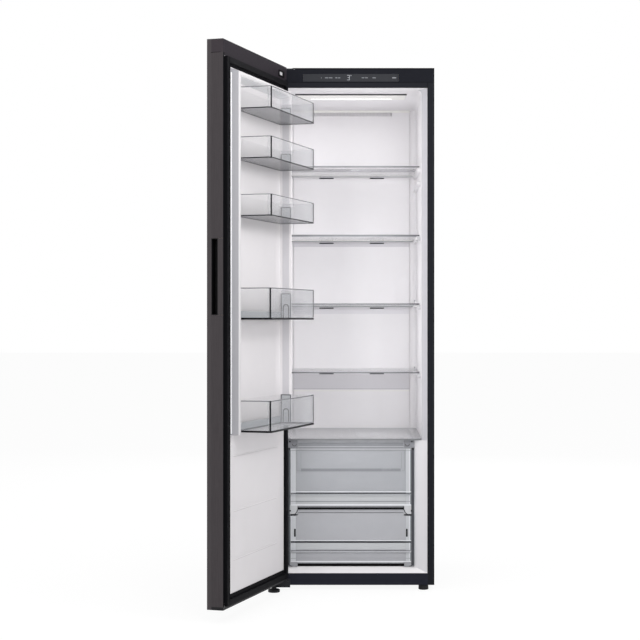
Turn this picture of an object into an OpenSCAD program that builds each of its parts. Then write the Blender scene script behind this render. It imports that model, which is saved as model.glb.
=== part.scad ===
// Single-door larder refrigerator, door open, in millimetres.
// X is to the right, Y goes back into the cabinet, Z is up.
// The origin is on the floor, below the middle of the cabinet's front plane.

/* [Cabinet] */
// Width of the cabinet and of the door
cabinet_w = 595; // [580:1:620]
// Depth of the cabinet behind its front plane
cabinet_d = 640; // [630:1:700]
// Height of the cabinet top above the floor
cabinet_h = 1860; // [1840:1:1950]
// Gap between the floor and the underside of the cabinet
foot_gap = 18; // [16:1:24]
// Thickness of the painted sheet steel
sheet_t = 1; // [0.8:0.1:1.4]

/* [Front frame] */
// Width of the side bars beside the door opening
side_bar_w = 23.5; // [22:0.5:26]
// Height of the steel rail over the opening
top_rail_h = 20; // [16:1:26]
// Height of the front cover that holds the display
top_cover_h = 51; // [46:1:60]
// Depth of the front cover along the cabinet top
top_cover_d = 70; // [68:1:90]
// Wall of the front cover
top_cover_t = 2.5; // [2:0.1:3]
// Height of the steel rail under the opening
base_rail_h = 42; // [40:1:48]
// Depth of the foot of the rail under the cabinet
base_rail_d = 40; // [40:1:60]
// Length of the display window
window_w = 340; // [240:1:360]
// Height of the display window
window_h = 27; // [20:1:30]
// Thickness of the display window
window_t = 2; // [1.5:0.1:2.4]

/* [Cavity] */
// Wall of the moulded liner
liner_t = 2; // [1.5:0.1:3]
// Cabinet side to the inner side wall
side_wall = 43.5; // [40:0.5:46]
// Cabinet top to the ceiling of the cavity
ceiling_wall = 76; // [75:1:90]
// Cabinet back to the inner back wall
back_wall = 80; // [78:1:90]
// Rise of the cavity floor over the rail
lip_rise = 20; // [14:1:26]
// Depth of the flared lip behind the opening
lip_d = 26; // [20:1:32]
// Radius of the upright corners at the back of the cavity
back_corner_r = 27; // [15:1:27]
// Radius of the ceiling's side corners
ceiling_corner_r = 16; // [6:1:22]
// Height of the drawer zone over the cavity floor
drawer_zone_h = 453; // [453:1:500]
// Width of the ledge on each side over the drawer zone
ledge_w = 27; // [24:1:30]
// Depth of the recess for the evaporator behind the back wall
recess_d = 38; // [36:1:44]
// Thickness of the duct panel's face
duct_panel_t = 3; // [2:0.5:4]
// Running gap round the duct panel
duct_gap = 1; // [0.5:0.1:2]

/* [Machine compartment] */
// Depth of the machine compartment
machine_d = 217; // [210:1:225]
// Height of the machine compartment over the underside
machine_h = 232; // [226:1:236]
// Insulated wall between the machine compartment and the cavity
step_wall = 40; // [32:1:40]
// Radius of the compressor shell
compressor_r = 72; // [60:1:78]
// Height of the compressor shell
compressor_h = 155; // [120:1:165]
// Radius of the condenser fan
condenser_fan_r = 66; // [50:1:70]
// Radius of the evaporator fan
evaporator_fan_r = 60; // [40:1:70]
// Radius of the rear rollers
roller_r = 17; // [15:1:20]

/* [Shelves] */
// Thickness of the shelf glass
shelf_t = 5; // [4:0.5:6]
// Gap between a shelf and each side wall
shelf_side_gap = 4; // [2:0.5:5]
// Setback of the shelves behind the front plane
shelf_front_y = 145; // [130:1:160]
// Top of the lowest shelf over the ledge
lowest_shelf_rise = 239; // [200:1:260]
// Pitch of the shelves
shelf_pitch = 251; // [230:1:255]
// Depth of the moulded rail on the back edge of a shelf
shelf_rail_d = 16; // [10:1:20]
// Height of the moulded rail on the back edge of a shelf
shelf_rail_h = 5.5; // [4:0.5:12]
// Thickness of the glass cover over the drawers
cover_t = 6; // [5:0.5:8]
// Inward reach of the ribs that carry the shelves
rib_reach = 12; // [8:1:12]
// Height of the ribs that carry the shelves
rib_h = 8; // [6:1:10]

/* [Drawers] */
// Wall of the drawers and door bins
tray_t = 2.5; // [2:0.1:3.5]
// Height of the lower drawer's box
lower_drawer_h = 165; // [140:1:165]
// Gap between a drawer and its rails
drawer_gap = 0.3; // [0.2:0.1:1]
// Gap between a drawer's side and the inner side wall
drawer_side_gap = 12; // [11:1:16]
// Height of the lower pair of rails
low_rail_h = 17; // [12:1:20]
// Height of the middle pair of rails
mid_rail_h = 32; // [26:1:36]
// Height of the upper pair of rails
top_rail_block_h = 28; // [22:1:32]
// Width of the moulded rail ends that show beside the drawers
rail_block_w = 36; // [30:1:40]
// Height of the grip ledge over a drawer's underside
grip_rise = 40; // [30:1:70]

/* [Door] */
// Thickness of the door without its liner's raised frame
door_t = 55; // [50:1:60]
// Gap between the cabinet front and the door
door_gap = 12; // [11.5:0.1:14]
// Step from the cabinet top down to the door top
door_drop = 6; // [6:0.5:9]
// Step from the cabinet underside up to the door bottom
door_lift = 24; // [24:0.5:30]
// Opening angle of the door as photographed
open_angle = 107; // [0:1:120]
// Hinge axis from the door's hinge edge
hinge_in = 23; // [20:0.5:25]
// Hinge axis behind the door's front face
hinge_back = 12; // [12:0.5:14]
// Radius of the hinge pins
pin_r = 4; // [3:0.5:5]
// Radial clearance of the hinge pins, roller axles and fan shafts
pin_clear = 0.05; // [0.02:0.01:0.1]
// Thickness of the door's front sheet
skin_t = 1.2; // [0.8:0.1:1.5]
// Depth of the front sheet's side returns
skin_return = 15; // [12:1:18]
// Height of the top cap
top_cap_h = 43; // [36:1:50]
// Lip of the top cap down over the door's inner face
cap_lip = 9.5; // [4:0.5:12]
// Height of the bottom cap
bottom_cap_h = 10; // [8:1:14]
// Width of the rim beside the gasket
rim_w = 12.5; // [12.5:0.5:16]
// Width of the gasket's tube
gasket_w = 18; // [16:0.5:20]
// Height of the gasket over the door's inner face
gasket_h = 10.5; // [9:0.1:10.5]
// Height of the raised frame on the door liner
dyke_h = 37; // [25:1:37]
// Height of the handle pocket
pocket_h = 239; // [180:1:300]
// Width of the handle pocket
pocket_w = 18; // [14:1:20]
// Depth of the handle pocket
pocket_d = 28; // [20:1:32]
// Middle of the handle pocket below the door top
pocket_drop = 754.5; // [700:0.5:800]

/* [Door bins] */
// Gap between a door bin and the raised frame on each side
bin_gap = 10.5; // [6:0.5:20]
// Depth of a door bin
bin_d = 126; // [90:0.5:128]
// Height of the three upper bins
small_bin_h = 70; // [60:1:80]
// Height of the two lower bins
large_bin_h = 100; // [85:1:110]
// Underside of each bin below the door top, from the top bin down
bin_drops = [213, 373, 558, 888, 1250];

/* [Feet] */
// Radius of the foot pad under the hinge
hinge_foot_r = 21; // [16:1:22]
// Radius of the foot pad on the free side
free_foot_r = 18; // [14:1:19]
// Radius of the foot screws
foot_screw_r = 5; // [4:0.5:6]
// Thickness of the hinge plates
hinge_t = 4; // [3:0.1:4]

/* [Hidden] */
$fn = 48;

fit_gap = 0.3;
steel_dark = [0.14, 0.145, 0.165];
liner_white = [0.91, 0.9, 0.91];
clear_grey = [0.72, 0.74, 0.76, 0.5];
glass_tint = [0.78, 0.82, 0.82, 0.45];
rail_grey = [0.74, 0.75, 0.76];
door_grey = [0.28, 0.265, 0.275];
black = [0.08, 0.08, 0.09];
steel_bare = [0.66, 0.67, 0.68];
copper = [0.72, 0.45, 0.3];
board_green = [0.1, 0.35, 0.2];
foam_cream = [0.93, 0.86, 0.62];

// Cabinet and opening
half_w = cabinet_w / 2;
inner_hw = half_w - sheet_t;
back_in_y = cabinet_d - sheet_t;
top_in_z = cabinet_h - sheet_t;
under_z = foot_gap + sheet_t;
open_hw = half_w - side_bar_w;
open_z0 = foot_gap + base_rail_h;
cover_z0 = cabinet_h - top_cover_h;
open_z1 = cover_z0 - top_rail_h;

// Cavity
cav_hw = half_w - side_wall;
cav_y = cabinet_d - back_wall;
cav_z0 = open_z0 + lip_rise;
cav_z1 = cabinet_h - ceiling_wall;
ledge_z = cav_z0 + drawer_zone_h;
low_hw = cav_hw - ledge_w;
liner_rim = 10;
recess_y = cav_y + recess_d;
duct_hw = cav_hw - max(ledge_w, back_corner_r);
recess_hw = duct_hw + duct_gap;
foam_gap = 0.3;
outlet_hw = 158;
outlet_h = 15;
outlet_d = 10;
outlet_drop = 4;

// Machine compartment
mach_y = cabinet_d - machine_d;
mach_z1 = foot_gap + machine_h;
hump_y = mach_y - step_wall;
hump_z = mach_z1 + step_wall;
recess_z0 = hump_z + 6;
recess_z1 = cav_z1 - liner_t;
base_plate_t = 1.5;
base_z = foot_gap + 12;
base_top = base_z + base_plate_t;
mach_mid_y = (mach_y + back_in_y) / 2;

// Ceiling lamp
lamp_hw = cav_hw - 54;
lamp_y0 = 135;
lamp_d = 127;
lamp_h = 10;
lamp_lens_t = 2;
board_t = 1.6;

// Shelves
shelf_hw = cav_hw - shelf_side_gap;
shelf_back_y = cav_y - duct_panel_t - 1;
glass_back_y = shelf_back_y - shelf_rail_d;
cover_hw = cav_hw - 1.5;
cover_front_y = 4;
cover_back_y = cav_y - duct_panel_t - 2;
rail_hw = cav_hw - rib_reach - 2;
rib_y0 = shelf_front_y + 5;
rib_y1 = glass_back_y - 2;
slot_pitch = shelf_pitch + 3.7;

// Drawers
drawer_front_y = 20;
drawer_hw = low_hw - drawer_side_gap;
front_hw = drawer_hw + 2;
block_hw = low_hw - rail_block_w;
tongue_hw = block_hw - 1;
low_rail_top = cav_z0 + low_rail_h;
lower_z0 = low_rail_top + drawer_gap;
lower_z1 = lower_z0 + lower_drawer_h;
mid_rail_z0 = lower_z1 + 6;
mid_rail_top = mid_rail_z0 + mid_rail_h;
upper_z0 = mid_rail_top + drawer_gap;
top_rail_z0 = ledge_z - top_rail_block_h;
upper_z1 = top_rail_z0 - 1;
upper_back_y = cav_y - 15;
lower_back_y = hump_y - 11;
front_t = 4;
tongue_drop = 5;
tongue_rise = 20;
grip_t = 4;
grip_reach = 10;
rail_t = 10;

// Door, in its own frame: s along its width from the hinge edge, q back from its front face
door_w = cabinet_w;
door_z0 = foot_gap + door_lift;
door_z1 = cabinet_h - door_drop;
hinge_x = hinge_in - door_w / 2;
hinge_y = hinge_back - door_t - door_gap;
core_z0 = door_z0 + bottom_cap_h;
core_z1 = door_z1 - top_cap_h;
lip_z0 = core_z1 - cap_lip;
boss_r = hinge_back - skin_t - 0.3;
bush_r = pin_r + 3;
bush_h = 22;
seat_clear = 0.05;
liner_s0 = rim_w - 0.5;
gasket_z0 = core_z0 + 1;
gasket_z1 = lip_z0 - 1;
flange_t = 2;
white_s0 = 31;
white_z0 = door_z0 + 42.5;
white_z1 = door_z1 - 81;
dyke_s0 = 33;
dyke_foot = 37;
dyke_top = 15;
dyke_lean = 12;
dyke_z1 = white_z1 - 4;
dyke_under = 9;
dyke_z0 = door_z1 - max(bin_drops) - dyke_under;
bin_s0 = dyke_s0 + dyke_foot + bin_gap;
bin_l = door_w - 2 * bin_s0;
bin_q0 = door_t + 6;
bin_corner_r = 12;
lug_q0 = door_t + 15;
lug_d = 16;
lug_h = 20;
lug_rise = 25;
hook_h = 8;
hook_gap = 2;
pocket_t = 2;
pocket_q0 = skin_return + 2;
groove_pitch = 162;
groove_d = 0.8;
groove_h = 8;
groove_rise = 152;
groove_s0 = 92;
groove_s1 = 480;
joint_gap = 0.2;

// Hinges and feet
upper_plate_z = cabinet_h - hinge_t - 0.8;
lower_plate_z = door_z0 - 2 - hinge_t;
arm_r = 19.5;
arm_x0 = hinge_x - arm_r;
plate_len = 90;
apron_drop = 8;
screw_r = 2.5;
foot_x = hinge_x + 2.9;
foot_y = hinge_y + 16;
free_foot_x = open_hw - 14.5;
free_foot_y = base_rail_d / 2;
pad_h = foot_gap - 7;

// Rollers
roller_inset = 41.5;
roller_x = inner_hw - roller_inset;
roller_y = back_in_y - 44;
roller_w = 16;
axle_r = 3;
ear_t = 2;
ear_gap = 2;
ear_hw = 12;

// Fans
shaft_r = 2.5;
hub_r = 14;
cond_inset = 46.5;
cond_w = 132;
shroud_gap = 48;
cond_x0 = cond_inset - inner_hw;
cond_x1 = cond_x0 + cond_w;
shroud_x = cond_x1 + shroud_gap;
shroud_t = 3;
fan_leg = 50;
motor_l = 18;
motor_r = 20;
fan_shaft_l = 22;
fan_z = base_top + condenser_fan_r + 18;
evap_z0 = ledge_z + 107;
evap_h = 240;
evap_fan_z = evap_z0 + evap_h + evaporator_fan_r + 40;
evap_inset = 37;
evap_hw = duct_hw - evap_inset;
fin_pitch = 16;

// Compressor and its seat
comp_inset = 156.5;
comp_x = inner_hw - comp_inset;
leg_hx = 95;
leg_hy = 75;
leg_t = 3;
grommet_h = 12;
grommet_r = 11;
grommet_neck_r = 5;
leg_z = base_top + grommet_h;
comp_z = leg_z + leg_t;

// Tubes
tube_r = 4;
drain_r = 8;
drain_x = -100;
drain_y = (cav_y + recess_y) / 2 + 1;
pan_h = 25;
pan_z = mach_z1 - pan_h - 13;
pan_inset = 120;
pan_x1 = comp_x - pan_inset;

function arc_points(cx, cy, r, a0, a1, n = 6) =
    [for (i = [0:n]) [cx + r * cos(a0 + (a1 - a0) * i / n), cy + r * sin(a0 + (a1 - a0) * i / n)]];

function round_rect(x0, y0, x1, y1, r) = concat(
    arc_points(x1 - r, y0 + r, r, -90, 0),
    arc_points(x1 - r, y1 - r, r, 0, 90),
    arc_points(x0 + r, y1 - r, r, 90, 180),
    arc_points(x0 + r, y0 + r, r, 180, 270)
);

// A block between two opposite corners
module block(low, high) {
    translate(low) cube([high[0] - low[0], high[1] - low[1], high[2] - low[2]]);
}

// A block across the cabinet, as wide on both sides
module cross_block(hw, y0, y1, z0, z1) {
    block([-hw, y0, z0], [hw, y1, z1]);
}

// The same thing on both sides
module both_sides() {
    children();
    mirror([1, 0, 0]) children();
}

// An outline in X and Z, drawn out along Y
module along_y(y0, y1, points) {
    translate([0, y1, 0]) rotate([90, 0, 0]) linear_extrude(y1 - y0) polygon(points);
}

// An outline in Y and Z, drawn out along X on both sides
module along_x(hw, points) {
    rotate([90, 0, 90]) translate([0, 0, -hw]) linear_extrude(2 * hw) polygon(points);
}

// A round bar along one axis
module bar_x(x0, x1, y, z, r) {
    translate([x0, y, z]) rotate([0, 90, 0]) cylinder(r = r, h = x1 - x0);
}
module bar_y(x, y0, y1, z, r) {
    translate([x, y1, z]) rotate([90, 0, 0]) cylinder(r = r, h = y1 - y0);
}
module bar_z(x, y, z0, z1, r) {
    translate([x, y, z0]) cylinder(r = r, h = z1 - z0);
}

// A bent tube with straight runs along the axes and ball joints
module pipe(points, r) {
    for (i = [0:len(points) - 2]) {
        a = points[i];
        b = points[i + 1];
        d = b - a;
        if (abs(d[0]) > 0) bar_x(min(a[0], b[0]), max(a[0], b[0]), a[1], a[2], r);
        if (abs(d[1]) > 0) bar_y(a[0], min(a[1], b[1]), max(a[1], b[1]), a[2], r);
        if (abs(d[2]) > 0) bar_z(a[0], a[1], min(a[2], b[2]), max(a[2], b[2]), r);
        if (i > 0) translate(a) sphere(r);
    }
}

// From the door's own frame to the opened door
module on_door() {
    translate([hinge_x, hinge_y, 0]) rotate([0, 0, -open_angle])
        translate([-hinge_in, -hinge_back, 0]) children();
}

// Mirrors a hinge-side feature of the door to its free side
module both_door_sides() {
    children();
    translate([door_w, 0, 0]) mirror([1, 0, 0]) children();
}

// Slab of the flared lip, at one depth
module lip_slab(hw, y, z0, z1) {
    block([-hw, y, z0], [hw, y + 0.01, z1]);
}

// Space of the cavity over the ledge, grown by g
module upper_space(g) {
    corner = cav_hw + g;
    r = back_corner_r;
    intersection() {
        along_y(lip_d, cav_y + g, concat(
            [[-corner, ledge_z - g], [corner, ledge_z - g]],
            arc_points(cav_hw - ceiling_corner_r, cav_z1 - ceiling_corner_r,
                ceiling_corner_r + g, 0, 90),
            arc_points(ceiling_corner_r - cav_hw, cav_z1 - ceiling_corner_r,
                ceiling_corner_r + g, 90, 180)
        ));
        translate([0, 0, ledge_z - g - 1]) linear_extrude(cav_z1 - ledge_z + 2 * g + 2)
            polygon(concat(
                [[-corner, lip_d], [corner, lip_d]],
                arc_points(cav_hw - r, cav_y - r, r + g, 0, 90),
                arc_points(r - cav_hw, cav_y - r, r + g, 90, 180)
            ));
    }
    hull() {
        lip_slab(open_hw + g, sheet_t, ledge_z - g, open_z1 + g);
        along_y(lip_d, lip_d + 0.01, concat(
            [[-corner, ledge_z - g], [corner, ledge_z - g]],
            arc_points(cav_hw - ceiling_corner_r, cav_z1 - ceiling_corner_r,
                ceiling_corner_r + g, 0, 90),
            arc_points(ceiling_corner_r - cav_hw, cav_z1 - ceiling_corner_r,
                ceiling_corner_r + g, 90, 180)
        ));
    }
}

// Space of the cavity under the ledge, grown by g
module lower_space(g) {
    top_z = ledge_z + 3;
    hull() {
        lip_slab(open_hw + g, sheet_t, open_z0 - g, top_z);
        lip_slab(low_hw + g, lip_d, cav_z0 - g, top_z);
    }
    cross_block(low_hw + g, lip_d, hump_y + g, cav_z0 - g, top_z);
    cross_block(low_hw + g, lip_d, cav_y + g, hump_z - g, top_z);
}

// Recess for the evaporator and pocket for the ceiling lamp, grown by g
module recess_space(g) {
    cross_block(recess_hw + g, cav_y - 1, recess_y + g, recess_z0 - g, recess_z1 + g);
    cross_block(lamp_hw + g, lamp_y0 - g, lamp_y0 + lamp_d + g, cav_z1 - 1, cav_z1 + lamp_h + g);
}

// Whole moulded form of the liner, grown by g
module liner_form(g) {
    upper_space(g);
    lower_space(g);
    recess_space(g);
}

// Front of the liner form, cut through the front plane
module opening_cut() {
    cross_block(open_hw, -1, sheet_t + 0.01, open_z0, open_z1);
}

function shelf_top(i) = ledge_z + lowest_shelf_rise + (4 - i) * shelf_pitch;

// Rib and catch on the left wall for one shelf
module shelf_rib(z_top) {
    z = z_top - shelf_t;
    block([-cav_hw - 1, rib_y0, z - rib_h], [-cav_hw + rib_reach, rib_y1, z]);
    block([-cav_hw - 1, rib_y1 - 22, z_top + 0.6], [-cav_hw + 9, rib_y1 - 10, z_top + 12]);
}

module side_panel() {
    color(steel_dark) {
        block([-half_w, 0, foot_gap], [-inner_hw, cabinet_d, cabinet_h]);
        block([-half_w, 0, foot_gap], [-open_hw, sheet_t, cover_z0]);
    }
}

module left_side_panel() { side_panel(); }

module right_side_panel() { mirror([1, 0, 0]) side_panel(); }

module back_panel() {
    color(steel_bare) cross_block(inner_hw, back_in_y, cabinet_d, mach_z1, top_in_z);
}

module top_panel() {
    color(steel_dark) cross_block(inner_hw, top_cover_d, cabinet_d, top_in_z, cabinet_h);
}

module bottom_plate() {
    color(steel_bare) difference() {
        along_x(inner_hw, [
            [base_rail_d, foot_gap], [mach_y, foot_gap], [mach_y, mach_z1],
            [back_in_y, mach_z1], [back_in_y, mach_z1 + sheet_t],
            [mach_y - sheet_t, mach_z1 + sheet_t], [mach_y - sheet_t, under_z],
            [base_rail_d, under_z]
        ]);
        bar_z(drain_x, drain_y, mach_z1 - 1, mach_z1 + 5, drain_r + fit_gap);
        bar_z(suction_x, suction_y, mach_z1 - 1, mach_z1 + 5, tube_r + fit_gap);
    }
}

module front_top_rail() {
    color(steel_dark) {
        cross_block(open_hw, 0, sheet_t, open_z1, cover_z0);
        cross_block(open_hw, 0, 12, cover_z0 - sheet_t, cover_z0);
    }
}

module front_bottom_rail() {
    color(steel_dark) difference() {
        union() {
            cross_block(open_hw, 0, sheet_t, foot_gap, open_z0);
            cross_block(open_hw, 0, base_rail_d, foot_gap, under_z);
            bar_z(free_foot_x, free_foot_y, foot_gap, under_z + 12, foot_screw_r + 4);
        }
        bar_z(free_foot_x, free_foot_y, foot_gap - 1, under_z + 13, foot_screw_r + pin_clear);
        lower_screw_holes(screw_r + pin_clear);
    }
}

module top_front_cover() {
    pocket_x = arm_x0 + plate_len + 3;
    color(steel_dark) difference() {
        union() {
            cross_block(inner_hw, 0, top_cover_t, cover_z0, cabinet_h);
            cross_block(inner_hw, 0, top_cover_d, cabinet_h - top_cover_t, cabinet_h);
            block([-inner_hw, 0, upper_plate_z - 6], [pocket_x + 2.5, 66, cabinet_h]);
            for (x = [-90, 0, 90, 200])
                block([x - 1, 8, cover_z0], [x + 1, top_cover_d, cabinet_h - 1]);
        }
        block([-inner_hw - 1, -1, upper_plate_z], [pocket_x, 63, cabinet_h + 1]);
        cross_block(window_w / 2, -1, top_cover_t + 1, window_z0, window_z0 + window_h);
        upper_screw_holes(screw_r + pin_clear);
        bar_y(-8, -1, 1, cabinet_h - 12, 4);
    }
}

window_z0 = cover_z0 + 3;
display_gap = 0.2;

module display_window() {
    color([0.24, 0.24, 0.26])
        cross_block(window_w / 2 - display_gap, top_cover_t - window_t, top_cover_t,
            window_z0 + display_gap, window_z0 + window_h - display_gap);
}

module circuit_boards() {
    color(board_green) {
        cross_block(window_w / 2 - 5, top_cover_t, top_cover_t + board_t,
            window_z0 - 2, window_z0 + window_h + 2);
        block([10, 20, cover_z0], [80, 60, cover_z0 + board_t]);
        cross_block(lamp_hw - 40, lamp_y0 + 97, lamp_y0 + 111, cav_z1 + lamp_h - board_t, cav_z1 + lamp_h);
    }
}

module inner_liner() {
    color(liner_white) {
        difference() {
            union() {
                liner_form(liner_t);
                cross_block(open_hw + liner_rim, sheet_t, sheet_t + liner_t,
                    open_z0 - liner_rim, open_z1 + liner_rim);
            }
            liner_form(0);
            opening_cut();
            bar_z(drain_x, drain_y, recess_z0 - 5, recess_z0 + 1, drain_r + fit_gap);
            bar_y(evap_hw + 12, recess_y - 1, recess_y + 5, suction_z, tube_r + fit_gap);
        }
        both_sides() {
            for (i = [1:4]) shelf_rib(shelf_top(i));
            block([-cav_hw - 1, rib_y0, shelf_top(1) - 65],
                [-cav_hw + rib_reach, rib_y1, shelf_top(1) - 65 + rib_h]);
        }
    }
}

module insulation_foam() {
    front_z = open_z0 - liner_rim - 2;
    color(foam_cream) difference() {
        along_x(inner_hw, [
            [sheet_t, front_z], [base_rail_d, front_z], [base_rail_d, under_z],
            [mach_y - sheet_t, under_z], [mach_y - sheet_t, mach_z1 + sheet_t],
            [back_in_y, mach_z1 + sheet_t], [back_in_y, top_in_z],
            [top_cover_d, top_in_z], [top_cover_d, cover_z0], [sheet_t, cover_z0]
        ]);
        liner_form(liner_t + foam_gap);
        cross_block(open_hw + liner_rim + foam_gap, 0, sheet_t + liner_t + foam_gap,
            open_z0 - liner_rim - foam_gap, open_z1 + liner_rim + foam_gap);
        cross_block(open_hw + foam_gap, 0, 12 + foam_gap, cover_z0 - sheet_t - foam_gap,
            cover_z0 + 1);
        bar_z(drain_x, drain_y, mach_z1, recess_z0, drain_r + foam_gap);
        bar_z(drain_x, drain_y, drain_seat_z - 2 - foam_gap, recess_z0, drain_r + 4 + foam_gap);
        pipe(suction_route, tube_r + foam_gap);
        lower_screw_holes(screw_r + foam_gap);
    }
}

module back_duct_panel() {
    hw = duct_hw;
    z0 = recess_z0 + duct_gap;
    z1 = recess_z1 - duct_gap;
    y0 = cav_y - duct_panel_t;
    wall = 2;
    top = z1 - outlet_drop;
    color([0.94, 0.93, 0.94]) difference() {
        union() {
            difference() {
                cross_block(hw, y0, recess_y, z0, z1);
                cross_block(hw - wall, cav_y, recess_y + 1, z0 + wall, z1 - wall);
            }
            cross_block(outlet_hw + wall, cav_y - 1, cav_y + outlet_d, top - outlet_h - wall, z1);
        }
        cross_block(outlet_hw, y0 - 1, cav_y + outlet_d - wall, top - outlet_h, top);
        for (i = [1:4], x = [-99, 99]) {
            z = shelf_top(4) - 18 + (4 - i) * slot_pitch;
            block([x - 28, y0 - 1, z - 2.5], [x + 28, cav_y + 1, z + 2.5]);
        }
        for (x = [-180:24:180])
            block([x - 7, y0 - 1, z0 + 12], [x + 7, cav_y + 1, z0 + 32]);
        bar_z(drain_x, drain_y, z0 - 1, z0 + wall + 1, drain_r);
    }
}

module evaporator() {
    y0 = cav_y + 5;
    y1 = recess_y - 4;
    mid_y = (y0 + y1) / 2;
    color(steel_bare) {
        for (x = [14 - evap_hw:fin_pitch:evap_hw - 14])
            block([x - 0.5, y0, evap_z0], [x + 0.5, y1, evap_z0 + evap_h]);
        both_sides() block([evap_hw - 2, y0, evap_z0], [evap_hw, recess_y, evap_z0 + evap_h]);
        for (i = [0:5])
            bar_x(-evap_hw - 6, evap_hw + 6, mid_y, evap_z0 + 20 + i * 40, tube_r);
    }
}

module defrost_heater() {
    z = evap_z0 - 30;
    y = (cav_y + recess_y) / 2;
    color([0.5, 0.5, 0.52]) {
        pipe([[-evap_hw + 10, y, z + 14], [-evap_hw + 10, y, z], [evap_hw - 10, y, z],
            [evap_hw - 10, y, z + 14]], tube_r);
        both_sides() block([evap_hw - 40, y, z - 4], [evap_hw - 34, recess_y, z + 4]);
    }
}

module evaporator_fan_motor() {
    color([0.3, 0.3, 0.32]) {
        bar_y(0, recess_y - 14, recess_y, evap_fan_z, 20);
        bar_y(0, recess_y - 31, recess_y - 14, evap_fan_z, shaft_r);
        both_sides() block([15, recess_y - 3, evap_fan_z - 6], [34, recess_y, evap_fan_z + 6]);
    }
}

// Hub with pitched blades round +Z, from z = 0 to its height
module fan_wheel(r, h, blades) {
    difference() {
        union() {
            cylinder(r = hub_r, h = h);
            intersection() {
                cylinder(r = r, h = h);
                for (i = [0:blades - 1]) rotate([0, 0, i * 360 / blades])
                    translate([0, 0, h / 2]) rotate([32, 0, 0])
                        block([hub_r - 3, -h, -0.8], [r + 5, h, 0.8]);
            }
        }
        translate([0, 0, -1]) cylinder(r = shaft_r + pin_clear, h = h + 2);
    }
}

module evaporator_fan() {
    color([0.2, 0.2, 0.22])
        translate([0, recess_y - 17, evap_fan_z]) rotate([90, 0, 0])
            fan_wheel(evaporator_fan_r, 14, 7);
}

module lamp_lens() {
    hw = lamp_hw - 1;
    y0 = lamp_y0 + 1;
    y1 = lamp_y0 + lamp_d - 1;
    color([0.97, 0.97, 0.95]) difference() {
        cross_block(hw, y0, y1, cav_z1, cav_z1 + lamp_h);
        cross_block(hw - 1.5, y0 + 1.5, y1 - 1.5, cav_z1 + lamp_lens_t, cav_z1 + lamp_h + 1);
    }
}

module compressor_base() {
    color(steel_bare) difference() {
        union() {
            cross_block(inner_hw, mach_y, back_in_y, base_z, base_top);
            cross_block(inner_hw, mach_y, mach_y + base_plate_t, base_z, base_top + 10);
            both_sides() for (dx = [-1, 1]) {
                x = roller_x + dx * (roller_w / 2 + ear_gap + ear_t / 2);
                block([x - ear_t / 2, roller_y - ear_hw, roller_r - 9],
                    [x + ear_t / 2, roller_y + ear_hw, base_z + 1]);
            }
        }
        both_sides() {
            hw = roller_w / 2 + ear_gap;
            block([roller_x - hw, roller_y - roller_r - 5, base_z - 1],
                [roller_x + hw, roller_y + roller_r + 5, base_top + 1]);
            bar_x(roller_x - 20, roller_x + 20, roller_y, roller_r, axle_r + pin_clear);
        }
    }
}

module roller_axles() {
    seat = roller_w / 2 + ear_gap + ear_t;
    color([0.8, 0.8, 0.82]) both_sides() {
        bar_x(roller_x - seat - 1.5, roller_x + seat + 1.5, roller_y, roller_r, axle_r);
        bar_x(roller_x - seat - 1.5, roller_x - seat, roller_y, roller_r, axle_r + 2);
        bar_x(roller_x + seat, roller_x + seat + 1.5, roller_y, roller_r, axle_r + 2);
    }
}

module roller() {
    color(black) difference() {
        bar_x(roller_x - roller_w / 2, roller_x + roller_w / 2, roller_y, roller_r, roller_r);
        bar_x(roller_x - roller_w, roller_x + roller_w, roller_y, roller_r, axle_r + pin_clear);
        for (x = [roller_x - roller_w / 2, roller_x + roller_w / 2]) difference() {
            bar_x(x - 2, x + 2, roller_y, roller_r, roller_r - 4);
            bar_x(x - 3, x + 3, roller_y, roller_r, axle_r + 3);
        }
    }
}

module left_rear_roller() { mirror([1, 0, 0]) roller(); }

module right_rear_roller() { roller(); }

// The four places of the compressor's legs
module at_legs() {
    for (x = [-1, 1], y = [-1, 1])
        translate([comp_x + x * (leg_hx - 12), mach_mid_y + y * (leg_hy - 12), 0]) children();
}

module compressor() {
    r = compressor_r;
    h = compressor_h;
    color([0.1, 0.1, 0.11]) difference() {
        union() {
            translate([comp_x, mach_mid_y, comp_z]) {
                rotate_extrude() polygon(concat(
                    [[0, 0]],
                    arc_points(r - 20, 20, 20, -90, 0, 4),
                    arc_points(r - 42, h - 42, 42, 0, 90, 6),
                    [[0, h]]
                ));
                translate([0, 0, h * 0.55]) cylinder(r = r + 3, h = 4);
                block([-r - 16, -28, 25], [-r + 14, 28, 85]);
            }
            block([comp_x - leg_hx, mach_mid_y - leg_hy, leg_z],
                [comp_x + leg_hx, mach_mid_y + leg_hy, comp_z]);
        }
        at_legs() translate([0, 0, leg_z - 1]) cylinder(r = grommet_neck_r + seat_clear, h = leg_t + 2);
    }
}

module compressor_grommets() {
    color([0.16, 0.16, 0.16]) at_legs() {
        translate([0, 0, base_top]) cylinder(r = grommet_r, h = grommet_h);
        translate([0, 0, leg_z]) cylinder(r = grommet_neck_r, h = leg_t);
        translate([0, 0, comp_z]) cylinder(r = grommet_r - 3, h = 3);
    }
}

cond_y0 = mach_y + 25;
cond_y1 = back_in_y - 25;
cond_h = 130;
cond_z0 = base_top + 14;
cond_tube_zs = [25, 105];
cond_tube_in = 22;

module condenser() {
    y0 = cond_y0;
    y1 = cond_y1;
    pitch = (y1 - y0 - 2) / 16;
    color(steel_bare) {
        for (i = [1:15])
            block([cond_x0, y0 + i * pitch, cond_z0], [cond_x1, y0 + i * pitch + 1, cond_z0 + cond_h]);
        for (y = [y0, y1 - 2]) block([cond_x0, y, base_top], [cond_x1, y + 2, cond_z0 + cond_h]);
        for (x = [cond_x0 + cond_tube_in, cond_x1 - cond_tube_in], z = cond_tube_zs)
            bar_y(x, y0 - 6, y1 + 6, cond_z0 + z, tube_r);
    }
}

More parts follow.
